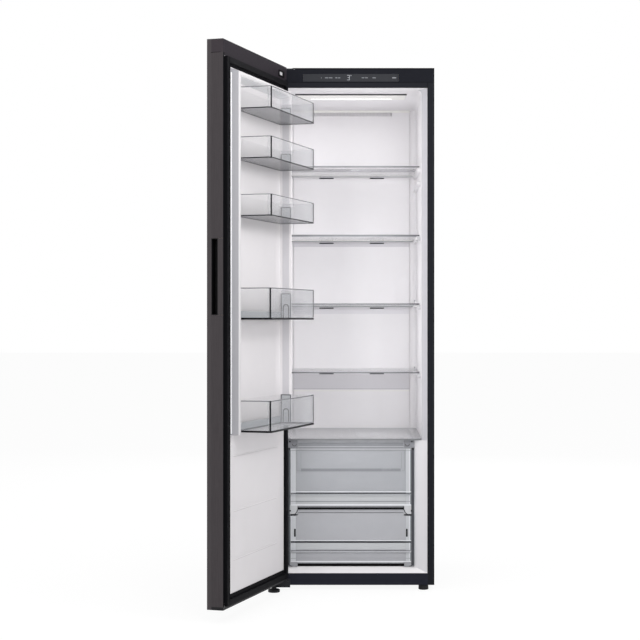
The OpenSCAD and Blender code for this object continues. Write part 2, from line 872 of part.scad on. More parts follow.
module condenser_fan_shroud() {
    y0 = mach_y + 17;
    y1 = back_in_y - 17;
    leg_x = shroud_x + fan_leg;
    arm_z = condenser_fan_r + 10;
    color([0.22, 0.22, 0.24]) difference() {
        union() {
            block([shroud_x, y0, base_top], [shroud_x + shroud_t, y1, fan_z + arm_z + 4]);
            for (s = [-1, 1])
                block([shroud_x, mach_mid_y - 10, fan_z + s * arm_z - 1.5],
                    [leg_x + 3, mach_mid_y + 10, fan_z + s * arm_z + 1.5]);
            block([leg_x, mach_mid_y - 10, fan_z - arm_z], [leg_x + 3, mach_mid_y + 10, fan_z + arm_z]);
        }
        bar_x(shroud_x - 1, shroud_x + shroud_t + 1, mach_mid_y, fan_z, condenser_fan_r + 4);
    }
}

module condenser_fan_motor() {
    leg_x = shroud_x + fan_leg;
    color([0.3, 0.3, 0.32]) {
        bar_x(leg_x - motor_l, leg_x, mach_mid_y, fan_z, motor_r);
        bar_x(leg_x - motor_l - fan_shaft_l, leg_x - motor_l, mach_mid_y, fan_z, shaft_r);
    }
}

module condenser_fan() {
    color([0.2, 0.2, 0.22])
        translate([shroud_x + 13, mach_mid_y, fan_z]) rotate([0, 90, 0])
            fan_wheel(condenser_fan_r, 18, 5);
}

module drain_pan() {
    x0 = cond_x0;
    x1 = pan_x1;
    y0 = mach_y + 12;
    y1 = back_in_y - 12;
    color([0.3, 0.31, 0.33]) {
        difference() {
            block([x0, y0, pan_z], [x1, y1, pan_z + pan_h]);
            block([x0 + 2, y0 + 2, pan_z + 2], [x1 - 2, y1 - 2, pan_z + pan_h + 1]);
        }
        for (y = [cond_y0, cond_y1 - 2], x = [cond_x0, cond_x1 - 12])
            block([x, y, cond_z0 + cond_h], [x + 12, y + 2, pan_z + 1]);
    }
}

drain_seat_z = recess_z0 - liner_t;

module drain_tube() {
    color([0.85, 0.85, 0.83]) difference() {
        union() {
            bar_z(drain_x, drain_y, pan_z + 8, recess_z0, drain_r);
            bar_z(drain_x, drain_y, drain_seat_z - 2, drain_seat_z, drain_r + 4);
        }
        bar_z(drain_x, drain_y, pan_z + 7, recess_z0 + 1, drain_r - 1.5);
    }
}

suction_inset = 71.5;
suction_x = inner_hw - suction_inset;
suction_y = recess_y + 20;
suction_z = evap_z0 + evap_h + 20;
comp_top = comp_z + compressor_h;
evap_y = (cav_y + recess_y + 1) / 2;
suction_route = [
    [evap_hw + 6, evap_y, suction_z - 40],
    [evap_hw + 12, evap_y, suction_z - 40],
    [evap_hw + 12, evap_y, suction_z],
    [evap_hw + 12, suction_y, suction_z],
    [suction_x, suction_y, suction_z],
    [suction_x, suction_y, mach_z1 - 12],
    [comp_x + 18, suction_y, mach_z1 - 12],
    [comp_x + 18, mach_mid_y, mach_z1 - 12],
    [comp_x + 18, mach_mid_y, comp_top]
];
over_shroud_z = pan_z - tube_r - 3.5;
discharge_route = [
    [comp_x - 18, mach_mid_y, comp_top],
    [comp_x - 18, mach_mid_y, mach_z1 - 24],
    [comp_x - 18, cond_y0 - 6, mach_z1 - 24],
    [comp_x - 90, cond_y0 - 6, mach_z1 - 24],
    [comp_x - 90, cond_y0 - 6, over_shroud_z],
    [cond_x1 - cond_tube_in, cond_y0 - 6, over_shroud_z],
    [cond_x1 - cond_tube_in, cond_y0 - 6, cond_z0 + cond_tube_zs[1] + tube_r]
];

module refrigerant_tubes() {
    color(copper) {
        pipe(suction_route, tube_r);
        pipe(discharge_route, tube_r);
    }
}

vent_inset = 56.5;
vent_run = 200;
vent_pitch = 14;
vent_hw = 3;
vent_h = 55;
vent_zs = [60, 130];
gland_inset = 41.5;
gland_drop = 50;
gland_r = 9;
gland_len = 8;
cord_r = 4.5;

// Slotted rear cover with the gland of the mains cord
module machine_cover() {
    z0 = foot_gap + 4;
    gland_x = inner_hw - gland_inset;
    gland_z = mach_z1 - gland_drop;
    vent_x = vent_inset - inner_hw;
    color([0.3, 0.31, 0.32]) difference() {
        union() {
            cross_block(inner_hw, back_in_y, cabinet_d, z0, mach_z1);
            bar_y(gland_x, back_in_y - gland_len, cabinet_d, gland_z, gland_r);
        }
        for (x = [vent_x:vent_pitch:vent_x + vent_run], z = vent_zs)
            block([x - vent_hw, back_in_y - 1, z], [x + vent_hw, cabinet_d + 1, z + vent_h]);
        for (x = [comp_x - 50:vent_pitch:comp_x + 80])
            block([x - vent_hw, back_in_y - 1, 75], [x + vent_hw, cabinet_d + 1, 160]);
        bar_y(gland_x, back_in_y - gland_len - 1, cabinet_d + 1, gland_z, cord_r);
    }
}

// Places of the screws through the upper and lower hinge plates
upper_screws = [[20, 20], [20, 50], [72, 35]];

module upper_screw_holes(r) {
    for (p = upper_screws)
        bar_z(arm_x0 + p[0], p[1], upper_plate_z - 5.5, cabinet_h + 1, r);
}
module lower_screw_holes(r) {
    for (x = [26, 50, 68]) bar_y(arm_x0 + x, -hinge_t - 1, sheet_t + 12, foot_gap + 10, r);
}

module upper_hinge_bracket() {
    z0 = upper_plate_z;
    color([0.2, 0.2, 0.22]) difference() {
        union() {
            bar_z(hinge_x, hinge_y, z0, z0 + hinge_t, arm_r);
            block([arm_x0, hinge_y, z0], [hinge_x + arm_r, 20, z0 + hinge_t]);
            block([arm_x0, 4, z0], [arm_x0 + plate_len, 61, z0 + hinge_t]);
            bar_z(hinge_x, hinge_y, door_z1 - bush_h + 2, z0 + 1, pin_r);
        }
        upper_screw_holes(screw_r + pin_clear);
    }
}

module lower_hinge_bracket() {
    z0 = lower_plate_z;
    color([0.2, 0.2, 0.22]) difference() {
        union() {
            bar_z(hinge_x, hinge_y, z0, z0 + hinge_t, arm_r);
            block([arm_x0, hinge_y, z0], [hinge_x + arm_r + 4, 0, z0 + hinge_t]);
            block([arm_x0, -hinge_t, foot_gap - apron_drop], [arm_x0 + plate_len - 12, 0, z0 + hinge_t]);
            bar_z(hinge_x, hinge_y, z0 + 1, door_z0 + bush_h - 2, pin_r);
        }
        bar_z(foot_x, foot_y, z0 - 1, z0 + hinge_t + 1, foot_screw_r + pin_clear);
        lower_screw_holes(screw_r + pin_clear);
    }
}

module hinge_screws() {
    color([0.7, 0.7, 0.72]) {
        difference() {
            upper_screw_holes(screw_r);
            block([-half_w, -200, cabinet_h], [0, 100, cabinet_h + 5]);
        }
        for (p = upper_screws)
            bar_z(arm_x0 + p[0], p[1], upper_plate_z + hinge_t, cabinet_h, 4.5);
        difference() {
            lower_screw_holes(screw_r);
            block([-half_w, 10, 0], [0, 40, 60]);
        }
        for (x = [26, 50, 68])
            bar_y(arm_x0 + x, -hinge_t - 1.6, -hinge_t, foot_gap + 10, 4.5);
    }
}

// Round pad with a hexagon over it and a screw, from the floor up
module foot(pad_r, top_z) {
    color(black) {
        rotate_extrude() polygon([
            [0, 0], [pad_r - 1.5, 0], [pad_r, 1.5], [pad_r, pad_h - 2], [pad_r - 4, pad_h], [0, pad_h]
        ]);
        translate([0, 0, pad_h]) cylinder(r = foot_screw_r + 4, h = 5, $fn = 6);
        cylinder(r = foot_screw_r, h = top_z);
    }
}

module hinge_side_foot() {
    translate([foot_x, foot_y, 0]) foot(hinge_foot_r, lower_plate_z + hinge_t - 0.5);
}

module free_side_foot() {
    translate([free_foot_x, free_foot_y, 0]) foot(free_foot_r, under_z + 15);
}

// One long guide with its moulded end, on the left
module drawer_rail(block_z0, block_z1, rail_z0, back_y) {
    block([-low_hw, drawer_front_y, block_z0], [-block_hw, drawer_front_y + 14, block_z1]);
    block([-low_hw, drawer_front_y + 10, rail_z0], [-low_hw + rail_t + 14, back_y, rail_z0 + rail_t]);
}

module drawer_rails() {
    color(rail_grey) both_sides() {
        drawer_rail(top_rail_z0, ledge_z, top_rail_z0, upper_back_y);
        drawer_rail(mid_rail_z0, mid_rail_top, mid_rail_top - rail_t, upper_back_y);
        drawer_rail(cav_z0, low_rail_top, low_rail_top - rail_t, lower_back_y);
        block([-low_hw, drawer_front_y + 40, cav_z0], [-low_hw + rail_t, lower_back_y - 20, low_rail_top - 1]);
        for (y = [drawer_front_y + 80, upper_back_y - 60])
            block([-low_hw, y, top_rail_z0 + 1], [-low_hw + rail_t, y + 30, ledge_z]);
    }
}

module crisper_cover() {
    front_hw = cover_hw - 14;
    corner_y = cav_y - back_corner_r;
    back_hw = cav_hw - back_corner_r / 2 - 0.5;
    color(glass_tint) translate([0, 0, ledge_z]) linear_extrude(cover_t) polygon([
        [-front_hw, cover_front_y], [front_hw, cover_front_y], [cover_hw, cover_front_y + 14],
        [cover_hw, corner_y], [back_hw, cover_back_y], [-back_hw, cover_back_y],
        [-cover_hw, corner_y], [-cover_hw, cover_front_y + 14]
    ]);
}

module shelf(i) {
    z = shelf_top(i);
    color(glass_tint) cross_block(shelf_hw, shelf_front_y, glass_back_y, z - shelf_t, z);
    color(liner_white)
        cross_block(rail_hw, glass_back_y, shelf_back_y, z - shelf_t, z - shelf_t + shelf_rail_h);
}

module shelf_1() { shelf(1); }
module shelf_2() { shelf(2); }
module shelf_3() { shelf(3); }
module shelf_4() { shelf(4); }

// Open drawer box with a front whose middle is taller than its sides
module drawer(z0, z1, back_y) {
    y0 = drawer_front_y;
    y1 = y0 + front_t;
    grip_z = z0 + grip_rise;
    difference() {
        cross_block(drawer_hw, y1 - 1, back_y, z0, z1);
        cross_block(drawer_hw - tray_t, y1, back_y - tray_t, z0 + tray_t, z1 + 1);
    }
    cross_block(front_hw, y0, y1, z0, z1);
    cross_block(tongue_hw, y0, y1, z0 - tongue_drop, z1 + tongue_rise);
    cross_block(front_hw - 3, y0 - grip_reach, y0 + 1, grip_z - grip_t, grip_z);
    cross_block(front_hw - 3, y0 - 2, y0 + 1, z0 + grip_rise * 0.3, z0 + grip_rise * 0.3 + 2);
}

module upper_drawer() {
    color(clear_grey) drawer(upper_z0, upper_z1, upper_back_y);
}

module lower_drawer() {
    color(clear_grey) difference() {
        drawer(lower_z0, lower_z1, lower_back_y);
        both_sides()
            block([drawer_hw - 18, drawer_front_y - 1, lower_z0 + 86],
                [drawer_hw - 12, drawer_front_y + front_t + 1, lower_z0 + 117]);
    }
}

module door_front_panel() {
    color(door_grey) on_door() difference() {
        block([0, 0, door_z0], [door_w, skin_return, door_z1]);
        block([skin_t, skin_t, door_z0 - 1], [door_w - skin_t, skin_return + 1, door_z1 + 1]);
    }
}

pocket_z1 = door_z1 - pocket_drop + pocket_h / 2;
pocket_z0 = pocket_z1 - pocket_h;

// Outside of the handle pocket, grown by g
module pocket_form(g) {
    block([door_w - pocket_d - pocket_t - g, skin_return, pocket_z0 - pocket_t - g],
        [door_w + g, pocket_q0 + pocket_w + pocket_t + g, pocket_z1 + pocket_t + g]);
}

module door_side_profiles() {
    color(door_grey) on_door() difference() {
        both_door_sides() {
            block([0, skin_return, core_z0], [skin_t, door_t, core_z1]);
            block([0, door_t - skin_t, core_z0], [liner_s0, door_t, core_z1]);
        }
        pocket_form(0.1);
        for (z = [pocket_z0 - pocket_t - 0.3, pocket_z1 + pocket_t + 0.1])
            block([door_w - liner_s0 - 1, pocket_q0, z], [door_w + 1, door_t + 1, z + joint_gap]);
    }
}

// Outline of a cap between the skin's returns, over a height
module cap_block(z0, z1, inset) {
    block([inset, skin_return + min(inset, 0.01), z0], [door_w - inset, door_t - inset, z1]);
    block([skin_t + inset, skin_t + inset, z0], [door_w - skin_t - inset, skin_return + 1, z1]);
}

module door_top_cap() {
    color(door_grey) on_door() difference() {
        union() {
            difference() {
                cap_block(core_z1, door_z1, 0);
                cap_block(core_z1 - 1, door_z1 - 3, 2.5);
            }
            block([liner_s0, door_t - liner_t, lip_z0], [door_w - liner_s0, door_t, core_z1 + 1]);
            bar_z(hinge_in, hinge_back, door_z1 - bush_h - 2, door_z1 - 1, boss_r);
        }
        bar_z(hinge_in, hinge_back, door_z1 - bush_h, door_z1 + 1, bush_r + seat_clear);
    }
}

module door_bottom_cap() {
    color(black) on_door() difference() {
        union() {
            difference() {
                cap_block(door_z0, core_z0, 0);
                cap_block(door_z0 + 3, core_z0 + 1, 2.5);
            }
            bar_z(hinge_in, hinge_back, door_z0 + 1, door_z0 + bush_h + 2, boss_r);
        }
        bar_z(hinge_in, hinge_back, door_z0 - 1, door_z0 + bush_h, bush_r + seat_clear);
    }
}

module door_bushes() {
    color([0.85, 0.85, 0.82]) on_door() difference() {
        union() {
            bar_z(hinge_in, hinge_back, door_z0, door_z0 + bush_h, bush_r);
            bar_z(hinge_in, hinge_back, door_z0 - 1.7, door_z0, bush_r + 2);
            bar_z(hinge_in, hinge_back, door_z1 - bush_h, door_z1, bush_r);
        }
        bar_z(hinge_in, hinge_back, door_z0 - 3, door_z1 + 1, pin_r + pin_clear);
    }
}

// Raised frame on the door liner, inset by g, its foot sunk by b below the liner's face
module dyke_frame(g, b) {
    h = dyke_h - g;
    slope = (dyke_foot - dyke_lean - dyke_top) / dyke_h;
    sunk = b * dyke_lean / dyke_h;
    in_low = dyke_foot - g + slope * (b + 1);
    in_high = dyke_foot - g - slope * (dyke_h + 1);
    s0 = dyke_s0;
    s1 = door_w - dyke_s0;
    translate([0, door_t, 0]) difference() {
        intersection() {
            translate([0, 0, dyke_z0 + g]) linear_extrude(dyke_z1 - dyke_z0) polygon([
                [s0 + g - sunk, -b], [s0 + g + dyke_lean, h - 2], [s0 + g + dyke_lean + 6, h],
                [s1 - g - dyke_lean - 6, h], [s1 - g - dyke_lean, h - 2], [s1 - g + sunk, -b]
            ]);
            rotate([90, 0, 90]) linear_extrude(door_w) polygon([
                [-b, dyke_z0 + g], [h, dyke_z0 + g], [h, dyke_z1 - g - dyke_lean - 6],
                [h - 2, dyke_z1 - g - dyke_lean], [-b, dyke_z1 - g + sunk]
            ]);
        }
        intersection() {
            translate([0, 0, dyke_z0 - 1]) linear_extrude(dyke_z1 - dyke_z0 + 2) polygon([
                [s0 + in_low, -b - 1], [s0 + in_high, dyke_h + 1],
                [s1 - in_high, dyke_h + 1], [s1 - in_low, -b - 1]
            ]);
            rotate([90, 0, 90]) linear_extrude(door_w) polygon([
                [-b - 1, dyke_z0 - 1], [dyke_h + 1, dyke_z0 - 1],
                [dyke_h + 1, dyke_z1 - in_high], [-b - 1, dyke_z1 - in_low]
            ]);
        }
    }
}

module door_foam() {
    color(foam_cream) on_door() difference() {
        union() {
            block([skin_t, skin_t, core_z0], [door_w - skin_t, door_t - liner_t - foam_gap, core_z1]);
            dyke_frame(liner_t + foam_gap, liner_t + foam_gap + 1);
        }
        pocket_form(foam_gap);
        bar_z(hinge_in, hinge_back, door_z0, door_z0 + bush_h + 2 + foam_gap, boss_r + foam_gap);
    }
}

// Lug on the hinge-side upright that carries one bin
module bin_lug(z) {
    block([dyke_s0 + dyke_foot - 10, lug_q0, z + lug_rise],
        [bin_s0 - hook_gap, lug_q0 + lug_d, z + lug_rise + lug_h]);
}

module door_liner() {
    color(liner_white) on_door() difference() {
        union() {
            block([liner_s0, door_t - liner_t, core_z0], [door_w - liner_s0, door_t, lip_z0]);
            dyke_frame(0, 1);
            both_door_sides() for (drop = bin_drops) bin_lug(door_z1 - drop);
        }
        dyke_frame(liner_t, liner_t + 1);
        for (i = [0:2])
            block([groove_s0, door_t - groove_d, door_z0 + groove_rise + i * groove_pitch],
                [groove_s1, door_t + 1, door_z0 + groove_rise + groove_h + i * groove_pitch]);
    }
}

// Rectangular ring round the door's inner face
module ring(s0, z0, z1, s1, w0, w1, q0, q1) {
    difference() {
        block([s0, q0, z0], [door_w - s0, q1, z1]);
        block([s1, q0 - 1, w0], [door_w - s1, q1 + 1, w1]);
    }
}

module door_gasket() {
    color(black) on_door() {
        ring(rim_w, gasket_z0, gasket_z1, white_s0, white_z0, white_z1, door_t, door_t + flange_t);
        ring(rim_w, gasket_z0, gasket_z1, rim_w + gasket_w, gasket_z0 + gasket_w,
            gasket_z1 - gasket_w, door_t, door_t + gasket_h);
    }
}

module handle_pocket() {
    color(black) on_door() difference() {
        pocket_form(0);
        block([door_w - pocket_d, pocket_q0, pocket_z0], [door_w + 1, pocket_q0 + pocket_w, pocket_z1]);
    }
}

module door_switch_magnet() {
    color(rail_grey) on_door()
        block([34, door_t, core_z1 + 2], [83, door_t + 3, core_z1 + 23]);
}

// Hook on the hinge-side end of a bin, over its lug
module bin_hook(z) {
    z0 = z + lug_rise + lug_h + fit_gap;
    block([dyke_s0 + dyke_foot - 0.4, lug_q0 - 2, z0], [bin_s0 + 1, lug_q0 + lug_d + 2, z0 + hook_h]);
}

// Clear bin with rounded corners, hung between the uprights
module door_bin(i) {
    z = door_z1 - bin_drops[i - 1];
    h = i > 3 ? large_bin_h : small_bin_h;
    s1 = bin_s0 + bin_l;
    q1 = bin_q0 + bin_d;
    color(clear_grey) on_door() {
        difference() {
            translate([0, 0, z]) linear_extrude(h)
                polygon(round_rect(bin_s0, bin_q0, s1, q1, bin_corner_r));
            translate([0, 0, z + tray_t]) linear_extrude(h)
                polygon(round_rect(bin_s0 + tray_t, bin_q0 + tray_t, s1 - tray_t, q1 - tray_t,
                    bin_corner_r - tray_t));
        }
        both_door_sides() bin_hook(z);
    }
}

module door_bin_1() { door_bin(1); }
module door_bin_2() { door_bin(2); }
module door_bin_3() { door_bin(3); }
module door_bin_4() { door_bin(4); }
module door_bin_5() { door_bin(5); }

left_side_panel();
right_side_panel();
back_panel();
top_panel();
bottom_plate();
front_top_rail();
front_bottom_rail();
top_front_cover();
display_window();
circuit_boards();
inner_liner();
insulation_foam();
back_duct_panel();
evaporator();
defrost_heater();
evaporator_fan_motor();
evaporator_fan();
lamp_lens();
compressor_base();
compressor();
compressor_grommets();
condenser();
condenser_fan_shroud();
condenser_fan_motor();
condenser_fan();
drain_pan();
drain_tube();
refrigerant_tubes();
machine_cover();
upper_hinge_bracket();
lower_hinge_bracket();
hinge_screws();
hinge_side_foot();
free_side_foot();
roller_axles();
left_rear_roller();
right_rear_roller();
drawer_rails();
crisper_cover();
shelf_1();
shelf_2();
shelf_3();
shelf_4();
upper_drawer();
lower_drawer();
door_front_panel();
door_side_profiles();
door_top_cap();
door_bottom_cap();
door_foam();
door_liner();
door_gasket();
door_bushes();
handle_pocket();
door_switch_magnet();
door_bin_1();
door_bin_2();
door_bin_3();
door_bin_4();
door_bin_5();
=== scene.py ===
import math

import bmesh
import bpy
from mathutils import Matrix, Vector


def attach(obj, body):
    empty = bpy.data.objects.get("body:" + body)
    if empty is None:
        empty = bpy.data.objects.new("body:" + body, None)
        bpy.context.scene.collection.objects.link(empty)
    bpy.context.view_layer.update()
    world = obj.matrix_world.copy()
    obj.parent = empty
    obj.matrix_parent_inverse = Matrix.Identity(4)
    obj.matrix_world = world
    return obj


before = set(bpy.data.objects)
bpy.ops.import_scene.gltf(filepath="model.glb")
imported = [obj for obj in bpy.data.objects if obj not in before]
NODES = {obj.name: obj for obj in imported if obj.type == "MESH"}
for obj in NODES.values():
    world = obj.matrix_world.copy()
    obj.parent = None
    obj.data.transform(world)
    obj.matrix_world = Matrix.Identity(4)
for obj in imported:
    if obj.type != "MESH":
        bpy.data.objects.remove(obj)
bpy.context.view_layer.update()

# Single-door larder refrigerator: the looks of the CAD pieces, thin trims on them, camera, floor and lamps.
# The trims are written in mm. Those on the door are written in the door's own frame.
SCENE = bpy.context.scene
MM = 0.001

# Door frame: s runs along the door's width from its hinge edge, q back from its front face
PAST_SQUARE = math.radians(17.0)
S_DIR = Vector((-math.sin(PAST_SQUARE), -math.cos(PAST_SQUARE), 0.0))
Q_DIR = Vector((math.cos(PAST_SQUARE), -math.sin(PAST_SQUARE), 0.0))
HINGE_PIN = Vector((-0.2745, -0.055, 0.0))
PIN_S, PIN_Q = 0.023, 0.012
DOOR_AT = HINGE_PIN - S_DIR * PIN_S - Q_DIR * PIN_Q
DOOR_MATRIX = Matrix((
    (S_DIR.x, Q_DIR.x, 0.0, DOOR_AT.x),
    (S_DIR.y, Q_DIR.y, 0.0, DOOR_AT.y),
    (0.0, 0.0, 1.0, 0.0),
    (0.0, 0.0, 0.0, 1.0),
))
TO_DOOR = DOOR_MATRIX.inverted()

# Heights and outlines that several trims share, in mm
DOOR_TOP = 1854.0
SHELF_TOPS = {1: 1525, 2: 1274, 3: 1023, 4: 772}
SHELF_HALF = 239
SLOT_ZS = [754.0, 1008.7, 1263.4, 1518.1]
SLOT_X = 99
PANEL_X = 228
BIN_BASES = {i: DOOR_TOP - drop for i, drop in enumerate((213, 373, 558, 888, 1250), 1)}
DEEP_BINS = (4, 5)
BIN_S0, BIN_S1, BIN_Q0, BIN_Q1, BIN_R = 80.5, 514.5, 61.0, 187.0, 12.0
CREASE_ZS = (523.5, 346, 189)

# Solved from the photograph: a level pinhole camera, shifted sideways
PHOTO_SIZE = 640.0
FOCAL_PX = 1540.97
CENTRE_U = 360.01
CAMERA_AT = (0.03273, -5.49095, 0.96221)
SENSOR_WIDTH = 36.0

WHITE = (1, 1, 1, 1)
SURFACE_IOR = 1.45
COAT_ROUGHNESS = 0.12
BUMP_DISTANCE = 0.0005
BRUSHED = (1, 1, 0.04)


def rgb(hex_colour):
    """sRGB hex to linear."""
    out = []
    for i in (0, 2, 4):
        c = int(hex_colour[i:i + 2], 16) / 255.0
        out.append(c / 12.92 if c <= 0.04045 else ((c + 0.055) / 1.055) ** 2.4)
    return out


def add_node(tree, kind, values=None):
    """New shader node, with the given values on its own sockets."""
    node = tree.nodes.new("ShaderNode" + kind)
    for socket, value in (values or {}).items():
        node.inputs[socket].default_value = value
    return node


def material(name, colour, rough=0.45, metal=0.0, vary=0.04, scale=40.0, bump=0.0, bump_scale=600.0,
             stretch=(1, 1, 1), alpha=1.0, specular=0.5, coat=0.0, emission=0.0, rough_vary=0.06):
    """Principled surface with a fine noise in its colour, its roughness and, where asked, its bump."""
    m = bpy.data.materials.new(name)
    m.use_nodes = True
    tree = m.node_tree
    tree.nodes.clear()
    out = add_node(tree, "OutputMaterial")
    surface = add_node(tree, "BsdfPrincipled", {
        "Metallic": metal, "IOR": SURFACE_IOR, "Specular IOR Level": specular, "Alpha": alpha,
        "Coat Weight": coat, "Coat Roughness": COAT_ROUGHNESS})
    tree.links.new(surface.outputs["BSDF"], out.inputs["Surface"])
    if emission:
        surface.inputs["Emission Color"].default_value = WHITE
        surface.inputs["Emission Strength"].default_value = emission
    place = add_node(tree, "TexCoord")
    mapping = add_node(tree, "Mapping", {"Scale": stretch})
    tree.links.new(place.outputs["Object"], mapping.inputs["Vector"])
    noise = add_node(tree, "TexNoise", {"Scale": scale, "Detail": 4.0, "Roughness": 0.55})
    tree.links.new(mapping.outputs["Vector"], noise.inputs["Vector"])
    base = rgb(colour)
    if vary:
        ramp = add_node(tree, "ValToRGB")
        for stop, at, factor in zip(ramp.color_ramp.elements, (0.3, 0.7), (1 - vary, 1 + vary)):
            stop.position = at
            stop.color = (*[min(1.0, c * factor) for c in base], 1)
        tree.links.new(noise.outputs["Fac"], ramp.inputs["Fac"])
        tree.links.new(ramp.outputs["Color"], surface.inputs["Base Color"])
    else:
        surface.inputs["Base Color"].default_value = (*base, 1)
    if rough_vary:
        spread = add_node(tree, "MapRange", {
            "To Min": max(0.0, rough - rough_vary), "To Max": min(1.0, rough + rough_vary)})
        tree.links.new(noise.outputs["Fac"], spread.inputs["Value"])
        tree.links.new(spread.outputs["Result"], surface.inputs["Roughness"])
    else:
        surface.inputs["Roughness"].default_value = rough
    if bump:
        grain = add_node(tree, "TexNoise", {"Scale": bump_scale, "Detail": 2.0})
        tree.links.new(mapping.outputs["Vector"], grain.inputs["Vector"])
        relief = add_node(tree, "Bump", {"Strength": bump, "Distance": BUMP_DISTANCE})
        tree.links.new(grain.outputs["Fac"], relief.inputs["Height"])
        tree.links.new(relief.outputs["Normal"], surface.inputs["Normal"])
    return m


